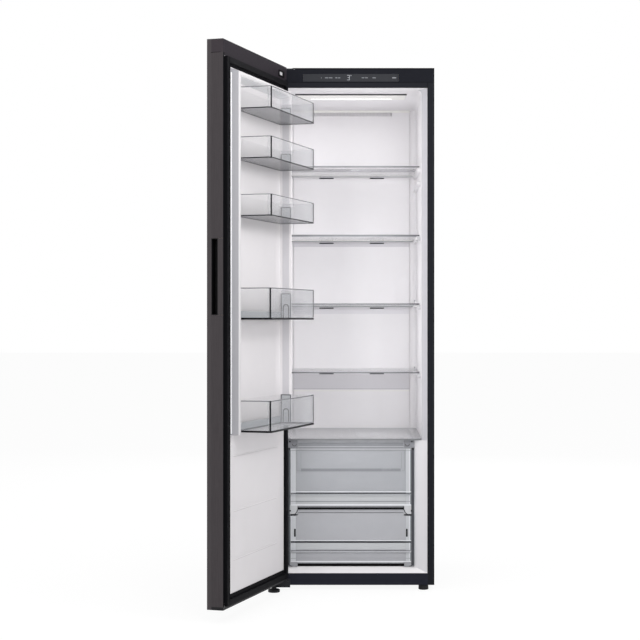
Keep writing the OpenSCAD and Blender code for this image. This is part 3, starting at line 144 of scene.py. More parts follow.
# Each row: name, colour, roughness, metal, variation of colour, noise scale, bump, bump scale
LOOKS = {
    # Steel and dark plastic of the cabinet
    "steel_dark": material("painted_dark_steel", "1b1c21", 0.55, 0.0, 0.05, 30, 0.12, 900, specular=0.08),
    "steel_base": material("painted_base_steel", "21222b", 0.55, 0.0, 0.05, 30, 0.12, 900, specular=0.08),
    "steel_bare": material("galvanised_sheet", "a8abad", 0.38, 0.85, 0.10, 24, 0.1, 400,
                           stretch=(1, 1, 0.3)),
    "cover_dark": material("cover_plastic", "16171d", 0.55, 0.0, 0.04, 50, 0.25, 1500, specular=0.08),
    "seam": material("dark_seam", "050507", 0.75, 0.0, 0.05, 60, specular=0.05),
    "display": material("display_glass", "2b2c30", 0.35, 0.0, 0.03, 20, specular=0.1),
    "mark": material("printed_white", "8e9095", 0.5, 0.0, 0.02, 200),
    "mark_dim": material("printed_grey", "696b70", 0.5, 0.0, 0.02, 200),
    "hinge": material("hinge_steel", "1f2024", 0.42, 0.2, 0.08, 60, 0.2, 700, specular=0.3),
    "screw": material("screw_zinc", "b9bbbd", 0.25, 1.0, 0.08, 200),
    # Cooling system and machine compartment
    "board": material("board_green", "1d5a38", 0.4, 0.0, 0.15, 300, 0.1, 800),
    "foam": material("rigid_foam", "e3cf8e", 0.85, 0.0, 0.12, 80, 0.8, 220),
    "aluminium": material("mill_aluminium", "c4c6c8", 0.32, 0.9, 0.06, 60, 0.1, 300, stretch=(1, 0.2, 1)),
    "heater": material("heater_tube", "77797c", 0.35, 0.9, 0.1, 60, 0.1, 400),
    "motor": material("motor_plastic", "34353a", 0.55, 0.0, 0.06, 90, 0.3, 1200),
    "fan": material("fan_plastic", "2c2d31", 0.45, 0.0, 0.05, 90, 0.2, 1200),
    "compressor": material("compressor_enamel", "17181a", 0.3, 0.0, 0.08, 30, 0.35, 350, coat=0.3),
    "rubber": material("rubber_black", "1b1b1d", 0.7, 0.0, 0.1, 120, 0.4, 900),
    "copper": material("copper_tube", "c07748", 0.28, 0.95, 0.12, 80, 0.1, 500),
    # White walls of the cavity, duct panel and lamp
    "liner": material("liner_polystyrene", "eae8ea", 0.36, 0.0, 0.012, 12, 0.05, 500, specular=0.35),
    "liner_front": material("liner_front_rim_painted_shade", "c6c5ca", 0.4, 0.0, 0.012, 12, 0.05, 500, specular=0.3),
    "liner_front_low": material("liner_front_rim_low_painted_shade", "dad9dc", 0.4, 0.0, 0.012, 12, 0.05, 500,
                                specular=0.3),
    "rib_end": material("rib_end", "cfced1", 0.45, 0.0, 0.02, 30, 0.05, 500),
    "duct": material("duct_panel", "eeecee", 0.4, 0.0, 0.01, 8, 0.04, 600, specular=0.35),
    "duct_slot": material("duct_slot_painted_shade", "2b2b30", 0.7, 0.0, 0.05, 60, specular=0.2),
    "outlet": material("duct_outlet", "dcdbdd", 0.45, 0.0, 0.02, 40, 0.05, 500),
    "outlet_fin": material("duct_outlet_fin", "dddbdd", 0.45, 0.0, 0.02, 40, 0.05, 500),
    # Painted shadows of the shelves on the duct panel: a paler one under shelf 3, and a darker line at the
    # foot of one
    "shelf_shadow": material("duct_painted_shelf_shadow", "d7d5d9", 0.45, 0.0, 0.01, 8, 0.04, 600),
    "shelf_shadow_pale": material("duct_painted_shelf_shadow_pale", "e2e0e4", 0.45, 0.0, 0.01, 8, 0.04, 600),
    "shelf_shadow_edge": material("duct_painted_shelf_shadow_edge", "bbb9be", 0.45, 0.0, 0.01, 8, 0.04, 600),
    "lamp": material("lamp_diffuser", "f1f0ec", 0.5, 0.0, 0.01, 40, 0.1, 900),
    "lamp_glow": material("lamp_strip", "ffffff", 0.5, 0.0, 0.0, 40, emission=1.0),
    "lamp_lip_shade": material("lamp_lip_painted_shade", "1d1a18", 0.6, 0.0, 0.04, 40),
    # Glass shelves and the drawers' cover
    "glass": material("shelf_glass", "a3a5aa", 0.06, 0.0, 0.01, 5, alpha=0.28, rough_vary=0.0),
    "glass_edge": material("glass_edge", "606165", 0.3, 0.0, 0.04, 20, alpha=0.9),
    "glass_edge_soft": material("glass_edge_soft", "8f9094", 0.3, 0.0, 0.04, 20, alpha=0.9),
    "shelf_line": material("shelf_line_grey", "a3a4a7", 0.3, 0.0, 0.03, 30),
    "shelf_band": material("shelf_band", "9a9a9f", 0.2, 0.0, 0.02, 20, alpha=0.55),
    "rail_white": material("shelf_rail", "e6e6e8", 0.3, 0.0, 0.02, 30, 0.05, 500),
    "cover_glass": material("cover_glass", "dedfe2", 0.12, 0.0, 0.01, 5, alpha=0.62, rough_vary=0.0),
    "cover_edge": material("cover_glass_edge", "6c6d70", 0.3, 0.0, 0.04, 20),
    # Drawers, their guides and the gaps round them
    "rail": material("rail_grey_plastic", "b9babd", 0.45, 0.0, 0.03, 60, 0.2, 1200),
    "rail_top": material("rail_grey_top_painted_shade", "808186", 0.45, 0.0, 0.03, 60, 0.2, 1200),
    "rail_low": material("rail_grey_low_painted_shade", "8f9094", 0.45, 0.0, 0.03, 60, 0.2, 1200),
    "drawer": material("drawer_clear", "c3c5ca", 0.15, 0.0, 0.02, 15, alpha=0.5, rough_vary=0.02),
    "drawer_low": material("drawer_clear_low", "c8c9ce", 0.15, 0.0, 0.02, 15, alpha=0.55, rough_vary=0.02),
    "line_dark": material("moulded_line_and_shade_dark", "37383c", 0.3, 0.0, 0.04, 60, specular=0.2),
    "line_mid": material("moulded_line_mid", "737478", 0.3, 0.0, 0.04, 60, specular=0.2),
    "line_soft": material("moulded_line_soft", "b3b4b8", 0.3, 0.0, 0.03, 60),
    "line_light": material("moulded_line_painted_highlight", "d8d9dd", 0.25, 0.0, 0.03, 60),
    "band_light": material("moulded_band_light", "cacccf", 0.2, 0.0, 0.02, 20, alpha=0.75),
    "band_shade": material("moulded_band_shade", "909297", 0.25, 0.0, 0.02, 20, alpha=0.7),
    "strip": material("drawer_side_strip", "bfc1c5", 0.3, 0.0, 0.02, 40),
    "strip_right": material("drawer_side_strip_right_shaded", "b1b3b7", 0.3, 0.0, 0.02, 40),
    "bead_soft": material("drawer_side_bead", "cccdd2", 0.25, 0.0, 0.03, 60),
    "top_bar": material("drawer_top_bar", "c2c3c8", 0.4, 0.0, 0.03, 60, 0.2, 1200),
    "gap_mid": material("side_gap_shade_mid", "6f7679", 0.5, 0.0, 0.04, 60, specular=0.1),
    "gap_dark": material("side_gap_shade_dark", "47484c", 0.6, 0.0, 0.04, 60, specular=0.1),
    "gap_black": material("gap_black", "0c0c0d", 0.7, 0.0, 0.04, 60, specular=0.1),
    # Clear bins
    "bin": material("bin_clear", "f2f3f5", 0.12, 0.0, 0.02, 15, alpha=0.04, rough_vary=0.02),
    "bin_front": material("bin_clear_front", "b2b3b7", 0.12, 0.0, 0.02, 15, alpha=0.2, rough_vary=0.02),
    "bin_base": material("bin_base_tint", "85878b", 0.2, 0.0, 0.03, 15, alpha=0.62, rough_vary=0.03),
    "bin_base_low": material("bin_base_tint_low", "b4b6ba", 0.2, 0.0, 0.03, 15, alpha=0.4, rough_vary=0.03),
    "bin_band": material("bin_tinted_band", "a9acb0", 0.2, 0.0, 0.02, 15),
    "bin_lug": material("bin_end_bracket", "b2b4b7", 0.25, 0.0, 0.02, 15),
    "bin_line": material("bin_moulded_line", "54565a", 0.3, 0.0, 0.04, 40, alpha=0.75),
    "bin_edge": material("bin_edge_dark", "101114", 0.3, 0.0, 0.05, 60, specular=0.1),
    "bin_rim": material("bin_rim", "77787b", 0.25, 0.0, 0.05, 60, alpha=0.85),
    # Door
    "door_face": material("door_painted_face", "433f41", 0.46, 0.0, 0.10, 420, 0.12, 900, stretch=BRUSHED,
                          specular=0.15),
    "door_edge": material("door_painted_edge", "423e40", 0.5, 0.0, 0.10, 420, 0.12, 900, stretch=BRUSHED,
                          specular=0.08),
    "cap": material("cap_plastic", "3b363a", 0.55, 0.0, 0.05, 60, 0.3, 1400, specular=0.08),
    "cap_inner": material("cap_inner_face", "29252a", 0.6, 0.0, 0.05, 60, 0.3, 1400, specular=0.05),
    "cap_black": material("cap_black_plastic", "17171a", 0.5, 0.0, 0.06, 60, 0.3, 1400, specular=0.25),
    "pocket": material("pocket_black", "0b0b0d", 0.5, 0.0, 0.06, 60, 0.2, 1400, specular=0.2),
    "bush": material("bush_acetal", "deddd4", 0.45, 0.0, 0.03, 90, 0.1, 900),
    "magnet": material("magnet_cover", "b9b8bb", 0.4, 0.0, 0.03, 90, 0.1, 900),
    "gasket": material("gasket_vinyl", "0d0d10", 0.65, 0.0, 0.08, 120, 0.3, 700, specular=0.08),
    "rim_black": material("door_rim_black", "0b0b0e", 0.65, 0.0, 0.06, 90, 0.2, 900, specular=0.06),
    "door_liner": material("door_liner_polystyrene", "dcd9db", 0.4, 0.0, 0.012, 10, 0.05, 500, specular=0.35),
    "dyke_crest_shade": material("door_liner_crest_painted_shade", "cccacc", 0.42, 0.0, 0.012, 10, 0.05, 500),
    "dyke_band": material("door_liner_side_band", "c4c2c6", 0.42, 0.0, 0.012, 10, 0.05, 500),
    "dyke_end": material("door_liner_shaded_end", "9c9ba0", 0.42, 0.0, 0.012, 10, 0.05, 500),
    "bead_and_painted_light": material("door_liner_bead_and_painted_light", "f6f6f8", 0.4, 0.0, 0.01, 10),
    "crease": material("door_liner_crease", "e9e6e8", 0.4, 0.0, 0.012, 10, 0.05, 500),
    "crease_shade": material("door_liner_crease_shade", "cfccce", 0.42, 0.0, 0.012, 10, 0.05, 500),
}

# Main look of each CAD node
NODE_LOOK = {
    "left_side_panel": "steel_dark", "right_side_panel": "steel_dark", "back_panel": "steel_bare",
    "top_panel": "steel_dark", "bottom_plate": "steel_bare", "front_top_rail": "steel_dark",
    "front_bottom_rail": "steel_base", "top_front_cover": "cover_dark", "display_window": "display",
    "circuit_boards": "board", "inner_liner": "liner", "insulation_foam": "foam",
    "back_duct_panel": "duct", "evaporator": "aluminium", "defrost_heater": "heater",
    "evaporator_fan_motor": "motor", "evaporator_fan": "fan", "lamp_lens": "lamp",
    "compressor_base": "steel_bare", "compressor": "compressor", "compressor_grommets": "rubber",
    "condenser": "aluminium", "condenser_fan_shroud": "fan", "condenser_fan_motor": "motor",
    "condenser_fan": "fan", "drain_pan": "motor", "drain_tube": "bush", "refrigerant_tubes": "copper",
    "machine_cover": "steel_bare", "upper_hinge_bracket": "hinge", "lower_hinge_bracket": "hinge",
    "hinge_screws": "screw", "hinge_side_foot": "cap_black", "free_side_foot": "cap_black",
    "roller_axles": "screw", "left_rear_roller": "cap_black", "right_rear_roller": "cap_black",
    "drawer_rails": "rail", "crisper_cover": "cover_glass", "shelf_1": "glass", "shelf_2": "glass",
    "shelf_3": "glass", "shelf_4": "glass", "upper_drawer": "drawer", "lower_drawer": "drawer_low",
    "door_front_panel": "door_face", "door_side_profiles": "door_edge", "door_top_cap": "cap",
    "door_bottom_cap": "cap_black", "door_foam": "foam", "door_liner": "door_liner",
    "door_gasket": "gasket", "door_bushes": "bush", "handle_pocket": "pocket",
    "door_switch_magnet": "magnet", "door_bin_1": "bin", "door_bin_2": "bin", "door_bin_3": "bin",
    "door_bin_4": "bin", "door_bin_5": "bin",
}
for node, key in NODE_LOOK.items():
    NODES[node].data.materials.clear()
    NODES[node].data.materials.append(LOOKS[key])


def paint(node, key, test, door=False):
    """Gives a further material to the faces that pass a test on centre, in mm, and normal."""
    mesh = NODES[node].data
    mesh.materials.append(LOOKS[key])
    index = len(mesh.materials) - 1
    turn = TO_DOOR.to_3x3()
    for face in mesh.polygons:
        c, n = face.center, face.normal
        if door:
            c, n = TO_DOOR @ c, turn @ n
        if test(c.x / MM, c.y / MM, c.z / MM, n):
            face.material_index = index


def piece(name, bm, key, body, door=False):
    """Turns a bmesh, in the door's frame or the cabinet's, into a piece that rides on a body."""
    me = bpy.data.meshes.new(name)
    bmesh.ops.recalc_face_normals(bm, faces=bm.faces)
    bm.to_mesh(me)
    bm.free()
    if door:
        me.transform(DOOR_MATRIX)
    me.materials.append(LOOKS[key])
    ob = bpy.data.objects.new(name, me)
    SCENE.collection.objects.link(ob)
    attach(ob, body)


def add_box(bm, low, high, bevel):
    """Box between two corners in mm, its edges rounded over by the bevel."""
    size = [(h - l) * MM for l, h in zip(low, high)]
    mid = [(h + l) / 2 * MM for l, h in zip(low, high)]
    made = bmesh.ops.create_cube(bm, size=1.0, matrix=Matrix.Translation(mid) @ Matrix.Diagonal((*size, 1)))
    if bevel:
        verts = set(made["verts"])
        edges = [e for e in bm.edges if e.verts[0] in verts and e.verts[1] in verts]
        bmesh.ops.bevel(bm, geom=edges, offset=bevel * MM, segments=2, affect="EDGES", profile=0.5)


def bars(name, key, body, items, bevel=0.1, door=False):
    """Thin moulded or printed trim: bevelled bars, each (x0, y0, z0, x1, y1, z1) in mm."""
    bm = bmesh.new()
    for b in items:
        add_box(bm, b[:3], b[3:], bevel)
    piece(name, bm, key, body, door)


def arc(cx, cy, r, a0, a1, n=6):
    """Points along an arc, from one angle in degrees to the other."""
    return [(cx + r * math.cos(math.radians(a0 + (a1 - a0) * i / n)),
             cy + r * math.sin(math.radians(a0 + (a1 - a0) * i / n))) for i in range(n + 1)]


def add_prism(bm, near, far):
    """Closed prism between two outlines with as many points, each (x, y, z) in mm."""
    near, far = [[bm.verts.new((x * MM, y * MM, z * MM)) for x, y, z in end] for end in (near, far)]
    for i in range(len(near)):
        j = (i + 1) % len(near)
        bm.faces.new((near[i], near[j], far[j], far[i]))
    bm.faces.new(near)
    bm.faces.new(list(reversed(far)))


def add_prism_x(bm, outline, x0, x1):
    """Prism along x over an outline of (y, z) points."""
    add_prism(bm, *[[(x, y, z) for y, z in outline] for x in (x0, x1)])


def add_prism_y(bm, outline, y0, y1):
    """Prism along y over an outline of (x, z) points."""
    add_prism(bm, *[[(x, y, z) for x, z in outline] for y in (y0, y1)])


def add_ribbon(bm, outer, inner, z0, z1, closed=True):
    """Thin upright wall between two outlines with as many points, in mm."""
    n = len(outer)
    rings = []
    for z in (z0, z1):
        rings.append([bm.verts.new((x * MM, y * MM, z * MM)) for x, y in outer])
        rings.append([bm.verts.new((x * MM, y * MM, z * MM)) for x, y in inner])
    ol, il, oh, ih = rings
    for i in range(n if closed else n - 1):
        j = (i + 1) % n
        bm.faces.new((ol[i], ol[j], oh[j], oh[i]))
        bm.faces.new((il[j], il[i], ih[i], ih[j]))
        bm.faces.new((oh[i], oh[j], ih[j], ih[i]))
        bm.faces.new((il[i], il[j], ol[j], ol[i]))
    if not closed:
        for i in (0, n - 1):
            bm.faces.new((ol[i], oh[i], ih[i], il[i]))


def strip(name, key, body, outline, z0, z1):
    """Upright moulding on the door over an outline of (s, q) points."""
    bm = bmesh.new()
    add_prism(bm, *[[(s, q, z) for s, q in outline] for z in (z0, z1)])
    piece(name, bm, key, body, door=True)


# Camera
cam_data = bpy.data.cameras.new("camera")
cam_data.sensor_width = SENSOR_WIDTH
cam_data.lens = FOCAL_PX / PHOTO_SIZE * SENSOR_WIDTH
cam_data.shift_x = -(CENTRE_U - PHOTO_SIZE / 2) / PHOTO_SIZE
cam_data.clip_start = 0.1
cam_data.clip_end = 60.0
camera = bpy.data.objects.new("camera", cam_data)
camera.location = CAMERA_AT
camera.rotation_euler = (math.pi / 2, 0.0, 0.0)
SCENE.collection.objects.link(camera)
bpy.context.scene.camera = camera

# Floor
floor_mesh = bpy.data.meshes.new("floor")
floor_mesh.from_pydata([(-30, -12, 0), (30, -12, 0), (30, 40, 0), (-30, 40, 0)], [], [(0, 1, 2, 3)])
floor = bpy.data.objects.new("floor", floor_mesh)
SCENE.collection.objects.link(floor)


def direct_rays(tree):
    """1 for camera, glossy and transmission rays."""
    path = add_node(tree, "LightPath")
    value = path.outputs["Is Camera Ray"]
    for other in ("Is Glossy Ray", "Is Transmission Ray"):
        either = add_node(tree, "Math")
        either.operation = "MAXIMUM"
        tree.links.new(value, either.inputs[0])
        tree.links.new(path.outputs[other], either.inputs[1])
        value = either.outputs[0]
    return value


def mix_to(output, tree, factor, first, second):
    """Sends the first shader to the output, and the second one by the factor."""
    mix = add_node(tree, "MixShader")
    tree.links.new(factor, mix.inputs["Fac"])
    tree.links.new(first.outputs[0], mix.inputs[1])
    tree.links.new(second.outputs[0], mix.inputs[2])
    tree.links.new(mix.outputs[0], output.inputs["Surface"])


# The floor is nearly white to the camera and keeps the object's shadow
floor_white = bpy.data.materials.new("floor_white")
floor_white.use_nodes = True
tree = floor_white.node_tree
tree.nodes.clear()
share = add_node(tree, "Math", {1: 0.86})
share.operation = "MULTIPLY"
tree.links.new(direct_rays(tree), share.inputs[0])
mix_to(add_node(tree, "OutputMaterial"), tree, share.outputs[0],
       add_node(tree, "BsdfDiffuse", {"Color": (0.9, 0.9, 0.9, 1)}),
       add_node(tree, "Emission", {"Color": WHITE, "Strength": 1.04}))
floor_mesh.materials.append(floor_white)

# The world is white to the camera and softer as a light
world = bpy.data.worlds.new("studio")
bpy.context.scene.world = world
world.use_nodes = True
tree = world.node_tree
tree.nodes.clear()
mix_to(add_node(tree, "OutputWorld"), tree, direct_rays(tree),
       add_node(tree, "Background", {"Color": WHITE, "Strength": 0.62}),
       add_node(tree, "Background", {"Color": WHITE, "Strength": 1.0}))


def area_light(name, at, to, size, power, inside=False, spread=180):
    """Soft lamp. One that fills the inside doesn't show in gloss or through glass."""
    d = bpy.data.lights.new(name, "AREA")
    d.shape = "RECTANGLE"
    d.size, d.size_y = size
    d.energy = power
    d.spread = math.radians(spread)
    o = bpy.data.objects.new(name, d)
    o.location = at
    o.rotation_euler = (Vector(to) - Vector(at)).to_track_quat("-Z", "Y").to_euler()
    SCENE.collection.objects.link(o)
    o.visible_camera = False
    if inside:
        o.visible_glossy = False
        o.visible_transmission = False


# Each row: name, place, target, size, power
area_light("front_soft", (0.6, -5.2, 3.4), (0.0, 0.3, 0.95), (3.2, 2.4), 82)
area_light("left_soft", (-3.4, -2.6, 2.4), (-0.3, 0.0, 1.0), (2.2, 2.6), 18)
area_light("right_soft", (3.6, -3.2, 2.0), (-0.2, 0.0, 0.9), (2.2, 2.6), 33)
area_light("top_soft", (0.0, -0.6, 4.2), (0.0, 0.2, 1.0), (2.5, 2.5), 30)
area_light("back_soft", (0.5, 4.5, 2.6), (0.0, 0.6, 1.0), (3.0, 2.5), 40)
area_light("opening_fill", (0.0, -0.16, 1.17), (0.0, 0.5, 1.17), (0.34, 1.24), 1.16, inside=True)
area_light("back_fill", (0.0, 0.12, 1.2), (0.0, 0.5, 1.2), (0.3, 1.1), 0.64, inside=True)
area_light("cavity_lamp", (0.0, 0.2, 1.775), (0.0, 0.22, 1.0), (0.38, 0.1), 0.22, inside=True)
area_light("wall_fill_right", (0.0, 0.24, 1.1), (1.0, 0.36, 1.1), (0.06, 1.0), 0.95, inside=True)
area_light("low_fill", (0.0, -0.9, 0.6), (0.0, 0.0, 0.4), (0.36, 0.2), 0.17, inside=True, spread=60)
area_light("ceiling_fill", (0.0, 0.36, 1.56), (0.0, 0.38, 1.8), (0.3, 0.2), 0.12, inside=True)
area_light("door_fill", (1.2, -1.4, 1.8), (-0.34, -0.4, 1.62), (0.5, 0.5), 3.9, inside=True, spread=90)

bpy.context.scene.view_settings.view_transform = "Standard"

# Faces of the cabinet's pieces with a look of their own: the shelves' back rails and front edges, the
# cover's front edge, the liner's right front rim and the upper and lower guides in a painted shade, the
# lower hinge's screws, and the air slots of the duct panel, dark with painted shade, and its outlet
for i in SHELF_TOPS:
    paint("shelf_%d" % i, "rail_white", lambda x, y, z, n: y > 539.5)
    paint("shelf_%d" % i, "glass_edge", lambda x, y, z, n: y < 146 and n.y < -0.9)
paint("crisper_cover", "cover_edge", lambda x, y, z, n: abs(n.z) < 0.2 and y < 20)
# Painted shade on the liner's right front rim, darker above the cover than below it
paint("inner_liner", "liner_front", lambda x, y, z, n: y < 25 and x > 220 and z > 530)
paint("inner_liner", "liner_front_low", lambda x, y, z, n: y < 25 and x > 220 and z <= 530)
# Painted shade on the guides: a darker grey at their tops and at their feet
paint("drawer_rails", "rail_top", lambda x, y, z, n: z > 500)
paint("drawer_rails", "rail_low", lambda x, y, z, n: z < 100)
paint("hinge_screws", "hinge", lambda x, y, z, n: z < 100)
# The air slots' faces are painted dark, as the shade inside them
paint("back_duct_panel", "duct_slot",
      lambda x, y, z, n: 70 < abs(x) < 128 and y > 557.5 and any(abs(z - k) < 2.7 for k in SLOT_ZS))
paint("back_duct_panel", "outlet", lambda x, y, z, n: abs(x) < 158.5 and y > 557.5 and 1761 < z < 1778)

# Faces of the door's pieces with a look of their own: the dark rim at the back of the painted sheet, the
# crest of the liner's raised frame in a painted shade, the top's underside lightened with painted light, the
# shaded end of the raised frame, the edge of the liner's flange, the back of the top cap, and the bins'
# floors and outer walls
for node in ("door_side_profiles", "door_front_panel"):
    paint(node, "rim_black", lambda s, q, z, n: n.y > 0.5 and q > 40, door=True)
paint("door_liner", "dyke_crest_shade", lambda s, q, z, n: s > 520 and q > 60, door=True)
paint("door_liner", "dyke_crest_shade", lambda s, q, z, n: z > 1735 and q > 88 and n.y > 0.9, door=True)
paint("door_liner", "bead_and_painted_light", lambda s, q, z, n: z > 1725 and n.z < -0.8 and q < 90, door=True)
paint("door_liner", "rim_black", lambda s, q, z, n: s > 566 and q < 56, door=True)
paint("door_top_cap", "cap_inner", lambda s, q, z, n: n.y > 0.5 and q > 50, door=True)
paint("door_liner", "dyke_end", lambda s, q, z, n: s > 545 and q > 55.5 and n.x > 0.5, door=True)
for i, z0 in BIN_BASES.items():
    paint("door_bin_%d" % i, "bin_base_low" if i in DEEP_BINS else "bin_base",
          lambda s, q, z, n: abs(n.z) > 0.9 and z < z0 + 3 and 81 < s < 514, door=True)
    paint("door_bin_%d" % i, "bin_front",
          lambda s, q, z, n: (q > 172 or s < 86) and abs(n.z) < 0.5, door=True)

# Pale face of each shelf's back rail, seen through the end of the glass
for i, top in SHELF_TOPS.items():
    bars("shelf_%d_rail_face" % i, "rail_white", "shelf_%d" % i,
         [(-SHELF_HALF, 538.6, top - 4.8, SHELF_HALF, 541, top - 0.2)])

# Lines and bands that are seen in the glass of the shelves, among them a band of painted shade under shelf
# 1's glass: shelf, name, look, y and z from and to
for i, name, key, y0, y1, z0, z1 in (
        (1, "back_stop", "lamp", 536, 541, 1526.6, 1529.8),
        (1, "back_line", "shelf_line", 536, 538.4, 1523.2, 1526.2),
        (1, "painted_shade_band", "shelf_band", 212, 325, 1519.2, 1519.9),
        (2, "front_edge", "glass_edge_soft", 144.3, 146, 1265.8, 1269.2),
        (2, "back_stop", "lamp", 536, 541, 1271.6, 1275.4),
        (2, "back_line", "shelf_line", 536, 538.4, 1267.6, 1271.2),
        (3, "back_line", "shelf_line", 536, 538.4, 1012.8, 1017.2)):
    bars("shelf_%d_%s" % (i, name), key, "shelf_%d" % i, [(-SHELF_HALF, y0, z0, SHELF_HALF, y1, z1)])

# Painted shadows of the shelves on the duct panel, as thin bands under them, left open at the air slots
SHADOW_Y0, SHADOW_Y1 = 556.5, 557.1
SHADOW_X0, SHADOW_X1 = -PANEL_X, 226
SLOT_INNER, SLOT_OUTER, SLOT_HALF = 70, 128, 2.7


def shelf_shadow_band(name, key, z0, z1):
    """Thin raised band of painted shadow across the duct panel, with a window at each slot in its height."""
    items = []
    for z in [z for z in SLOT_ZS if z0 < z < z1]:
        between = ((SHADOW_X0, -SLOT_OUTER), (-SLOT_INNER, SLOT_INNER), (SLOT_OUTER, SHADOW_X1))
        items += [(xa, SHADOW_Y0, z - SLOT_HALF, xb, SHADOW_Y1, z + SLOT_HALF) for xa, xb in between]
        items += [(SHADOW_X0, SHADOW_Y0, z0, SHADOW_X1, SHADOW_Y1, z - SLOT_HALF),
                  (SHADOW_X0, SHADOW_Y0, z + SLOT_HALF, SHADOW_X1, SHADOW_Y1, z1)]
    bars(name, key, "cabinet", items or [(SHADOW_X0, SHADOW_Y0, z0, SHADOW_X1, SHADOW_Y1, z1)], bevel=0)


shelf_shadow_band("duct_shelf_shadow_2", "shelf_shadow", 1249, 1266.4)
shelf_shadow_band("duct_shelf_shadow_3", "shelf_shadow_pale", 986, 1013)
shelf_shadow_band("duct_shelf_shadow_4", "shelf_shadow", 693.2, 751)
shelf_shadow_band("duct_shelf_shadow_4_edge", "shelf_shadow_edge", 690.4, 693.2)
shelf_shadow_band("duct_shelf_shadow_4_pale_line", "lamp", 683, 686.4)

bars("duct_outlet_fins", "outlet_fin", "cabinet",
     [(x, 556.6, 1761.2, x + 10, 559.5, 1777.8) for x in range(-157, 150, 13)], bevel=0.3)
# Dark lines of painted shade under the lowest pair of air slots
bars("duct_slot_shade_lines", "duct_slot", "cabinet",
     [(x - 28, 556.3, 749.4, x + 28, SHADOW_Y1, 752.4) for x in (-SLOT_X, SLOT_X)], bevel=0.2)

# Cove where the ceiling meets the back wall
bm = bmesh.new()
add_prism_x(bm, arc(548.5, 1775.5, 8.2, 90, 0) + [(557.2, 1783.9)], -PANEL_X, PANEL_X)
piece("ceiling_cove", bm, "lamp", "cabinet")

# Dark backs behind the air slots of the duct panel, painted shade inside the slots
bars("duct_slot_shade_backs", "duct_slot", "cabinet",
     [(x - 29, 560.4, z - 4, x + 29, 561.4, z + 4) for z in SLOT_ZS for x in (-SLOT_X, SLOT_X)])

# Front of the cabinet: seams round the opening and under the cover, and its dark top and right edges
bars("front_seams", "seam", "cabinet", [
    (-296.5, -0.3, 1808.5, 296.5, 0.3, 1809.5),
    (272.9, -0.25, 60.5, 274.5, 0.3, 1808.4),
    (-253, -0.25, 1788.9, 272.8, 0.3, 1791.2),
    (-274.5, -0.25, 60.5, -273.5, 0.3, 1808.4),
    (-208, -0.3, 1856.4, 297.2, 0.4, 1859.9),
    (295.9, -0.3, 20.0, 297.45, 0.4, 1859.9)])

# Display: plain dim marks, one digit with a degree mark and a lit bar, printed on the glass
GLASS_Y, DIM_Y, LIT_Y = 0.28, 0.52, 0.55
DIM_Z = 1825.2
DIGIT_X, DIGIT_Z = -13.0, 1826.0
DISPLAY_X, MM_PER_PX = 32.73, 3.5633


def photo_x(u):
    """x on the cabinet's front, in mm, of a column of the photograph."""
    return DISPLAY_X + (u - CENTRE_U) * MM_PER_PX


# Each mark: its first and last column, and half its height
dim_marks = [(321.0, 321.8, 1.2), (325.0, 328.2, 1.5), (328.9, 332.4, 1.5), (335.2, 337.4, 1.5),
             (338.1, 340.2, 1.5), (361.7, 364.3, 1.5), (365.1, 367.8, 1.5), (372.4, 375.8, 1.5)]
bars("display_marks_dim", "mark_dim", "cabinet",
     [(photo_x(a), GLASS_Y, DIM_Z - half, photo_x(b), DIM_Y, DIM_Z + half) for a, b, half in dim_marks],
     bevel=0.05)
# Each stroke: left, low, right and high from the digit's middle
strokes = [(0, 7.2, 9, 9), (2, -0.9, 9, 0.9), (0, -9, 9, -7.2), (7.2, 0.9, 9, 7.2), (7.2, -7.2, 9, -0.9),
           (12, 6.0, 15, 9)]
bars("display_marks_lit", "mark", "cabinet",
     [(DIGIT_X + x0, GLASS_Y, DIGIT_Z + z0, DIGIT_X + x1, LIT_Y, DIGIT_Z + z1) for x0, z0, x1, z1 in strokes]
     + [(photo_x(392.3), GLASS_Y, 1823.9, photo_x(396.2), LIT_Y, 1826.4)], bevel=0.05)

# Lamp in the ceiling, and a dark line of painted shade along its front lip
bars("lamp_glow_strip", "lamp_glow", "cabinet", [(-150, 241, 1783.3, 150, 249, 1783.95)], bevel=0.2)
bars("lamp_front_shade_line", "lamp_lip_shade", "cabinet", [(-203, 110, 1782.8, 203, 141, 1783.95)], bevel=0.2)

# Rounded front ends of the shelf ribs on both walls, each with its top and its height
WALL_X, RIB_REACH = 254.5, 12.6
RIB_FRONT, RIB_BACK, RIB_SQUASH = 150, 165, 0.8


def rib_end(bm, side, z_top, height):
    """Rounded end of one rib, from the side wall inwards."""
    r = height / 2
    outline = [(RIB_FRONT - y * RIB_SQUASH, z) for y, z in arc(0, z_top - r, r, -90, 90, 10)]
    outline += [(RIB_BACK, z_top), (RIB_BACK, z_top - height)]
    add_prism_x(bm, outline, side * WALL_X, side * (WALL_X - RIB_REACH))


# The ribs of the three lower shelves end in a greyer copy of the liner's white, as painted shade
for name, key, ribs in (("rib_ends_high", "liner", ((1520, 17), (1466, 9))),
                        ("rib_ends", "rib_end", ((1269, 17), (1018, 17), (767, 17)))):
    bm = bmesh.new()
    for z_top, height in ribs:
        for side in (-1, 1):
            rib_end(bm, side, z_top - 0.3, height)
    piece(name, bm, key, "cabinet")

# Small pegs at the end of the two lower shelves
for i in (3, 4):
    top = SHELF_TOPS[i]
    bars("shelf_%d_peg" % i, "shelf_line", "shelf_%d" % i,
         [(237.2, 299.2, top - 0.5, 238.8, 300.8, top + 10), (235.4, 297, top + 9, 240.6, 303, top + 15)],
         bevel=0.5)

# Drawer fronts: moulded lines and bands with their shade and highlights painted in, side strips and beads
TRIM_Y0, TRIM_Y1 = 19.7, 20.4
LINE_Y0 = TRIM_Y0 - 0.3
BEAD_Y0 = TRIM_Y0 - 0.2
WHOLE_HALF, TOP_HALF, BAND_HALF = 215, 188, 196.5


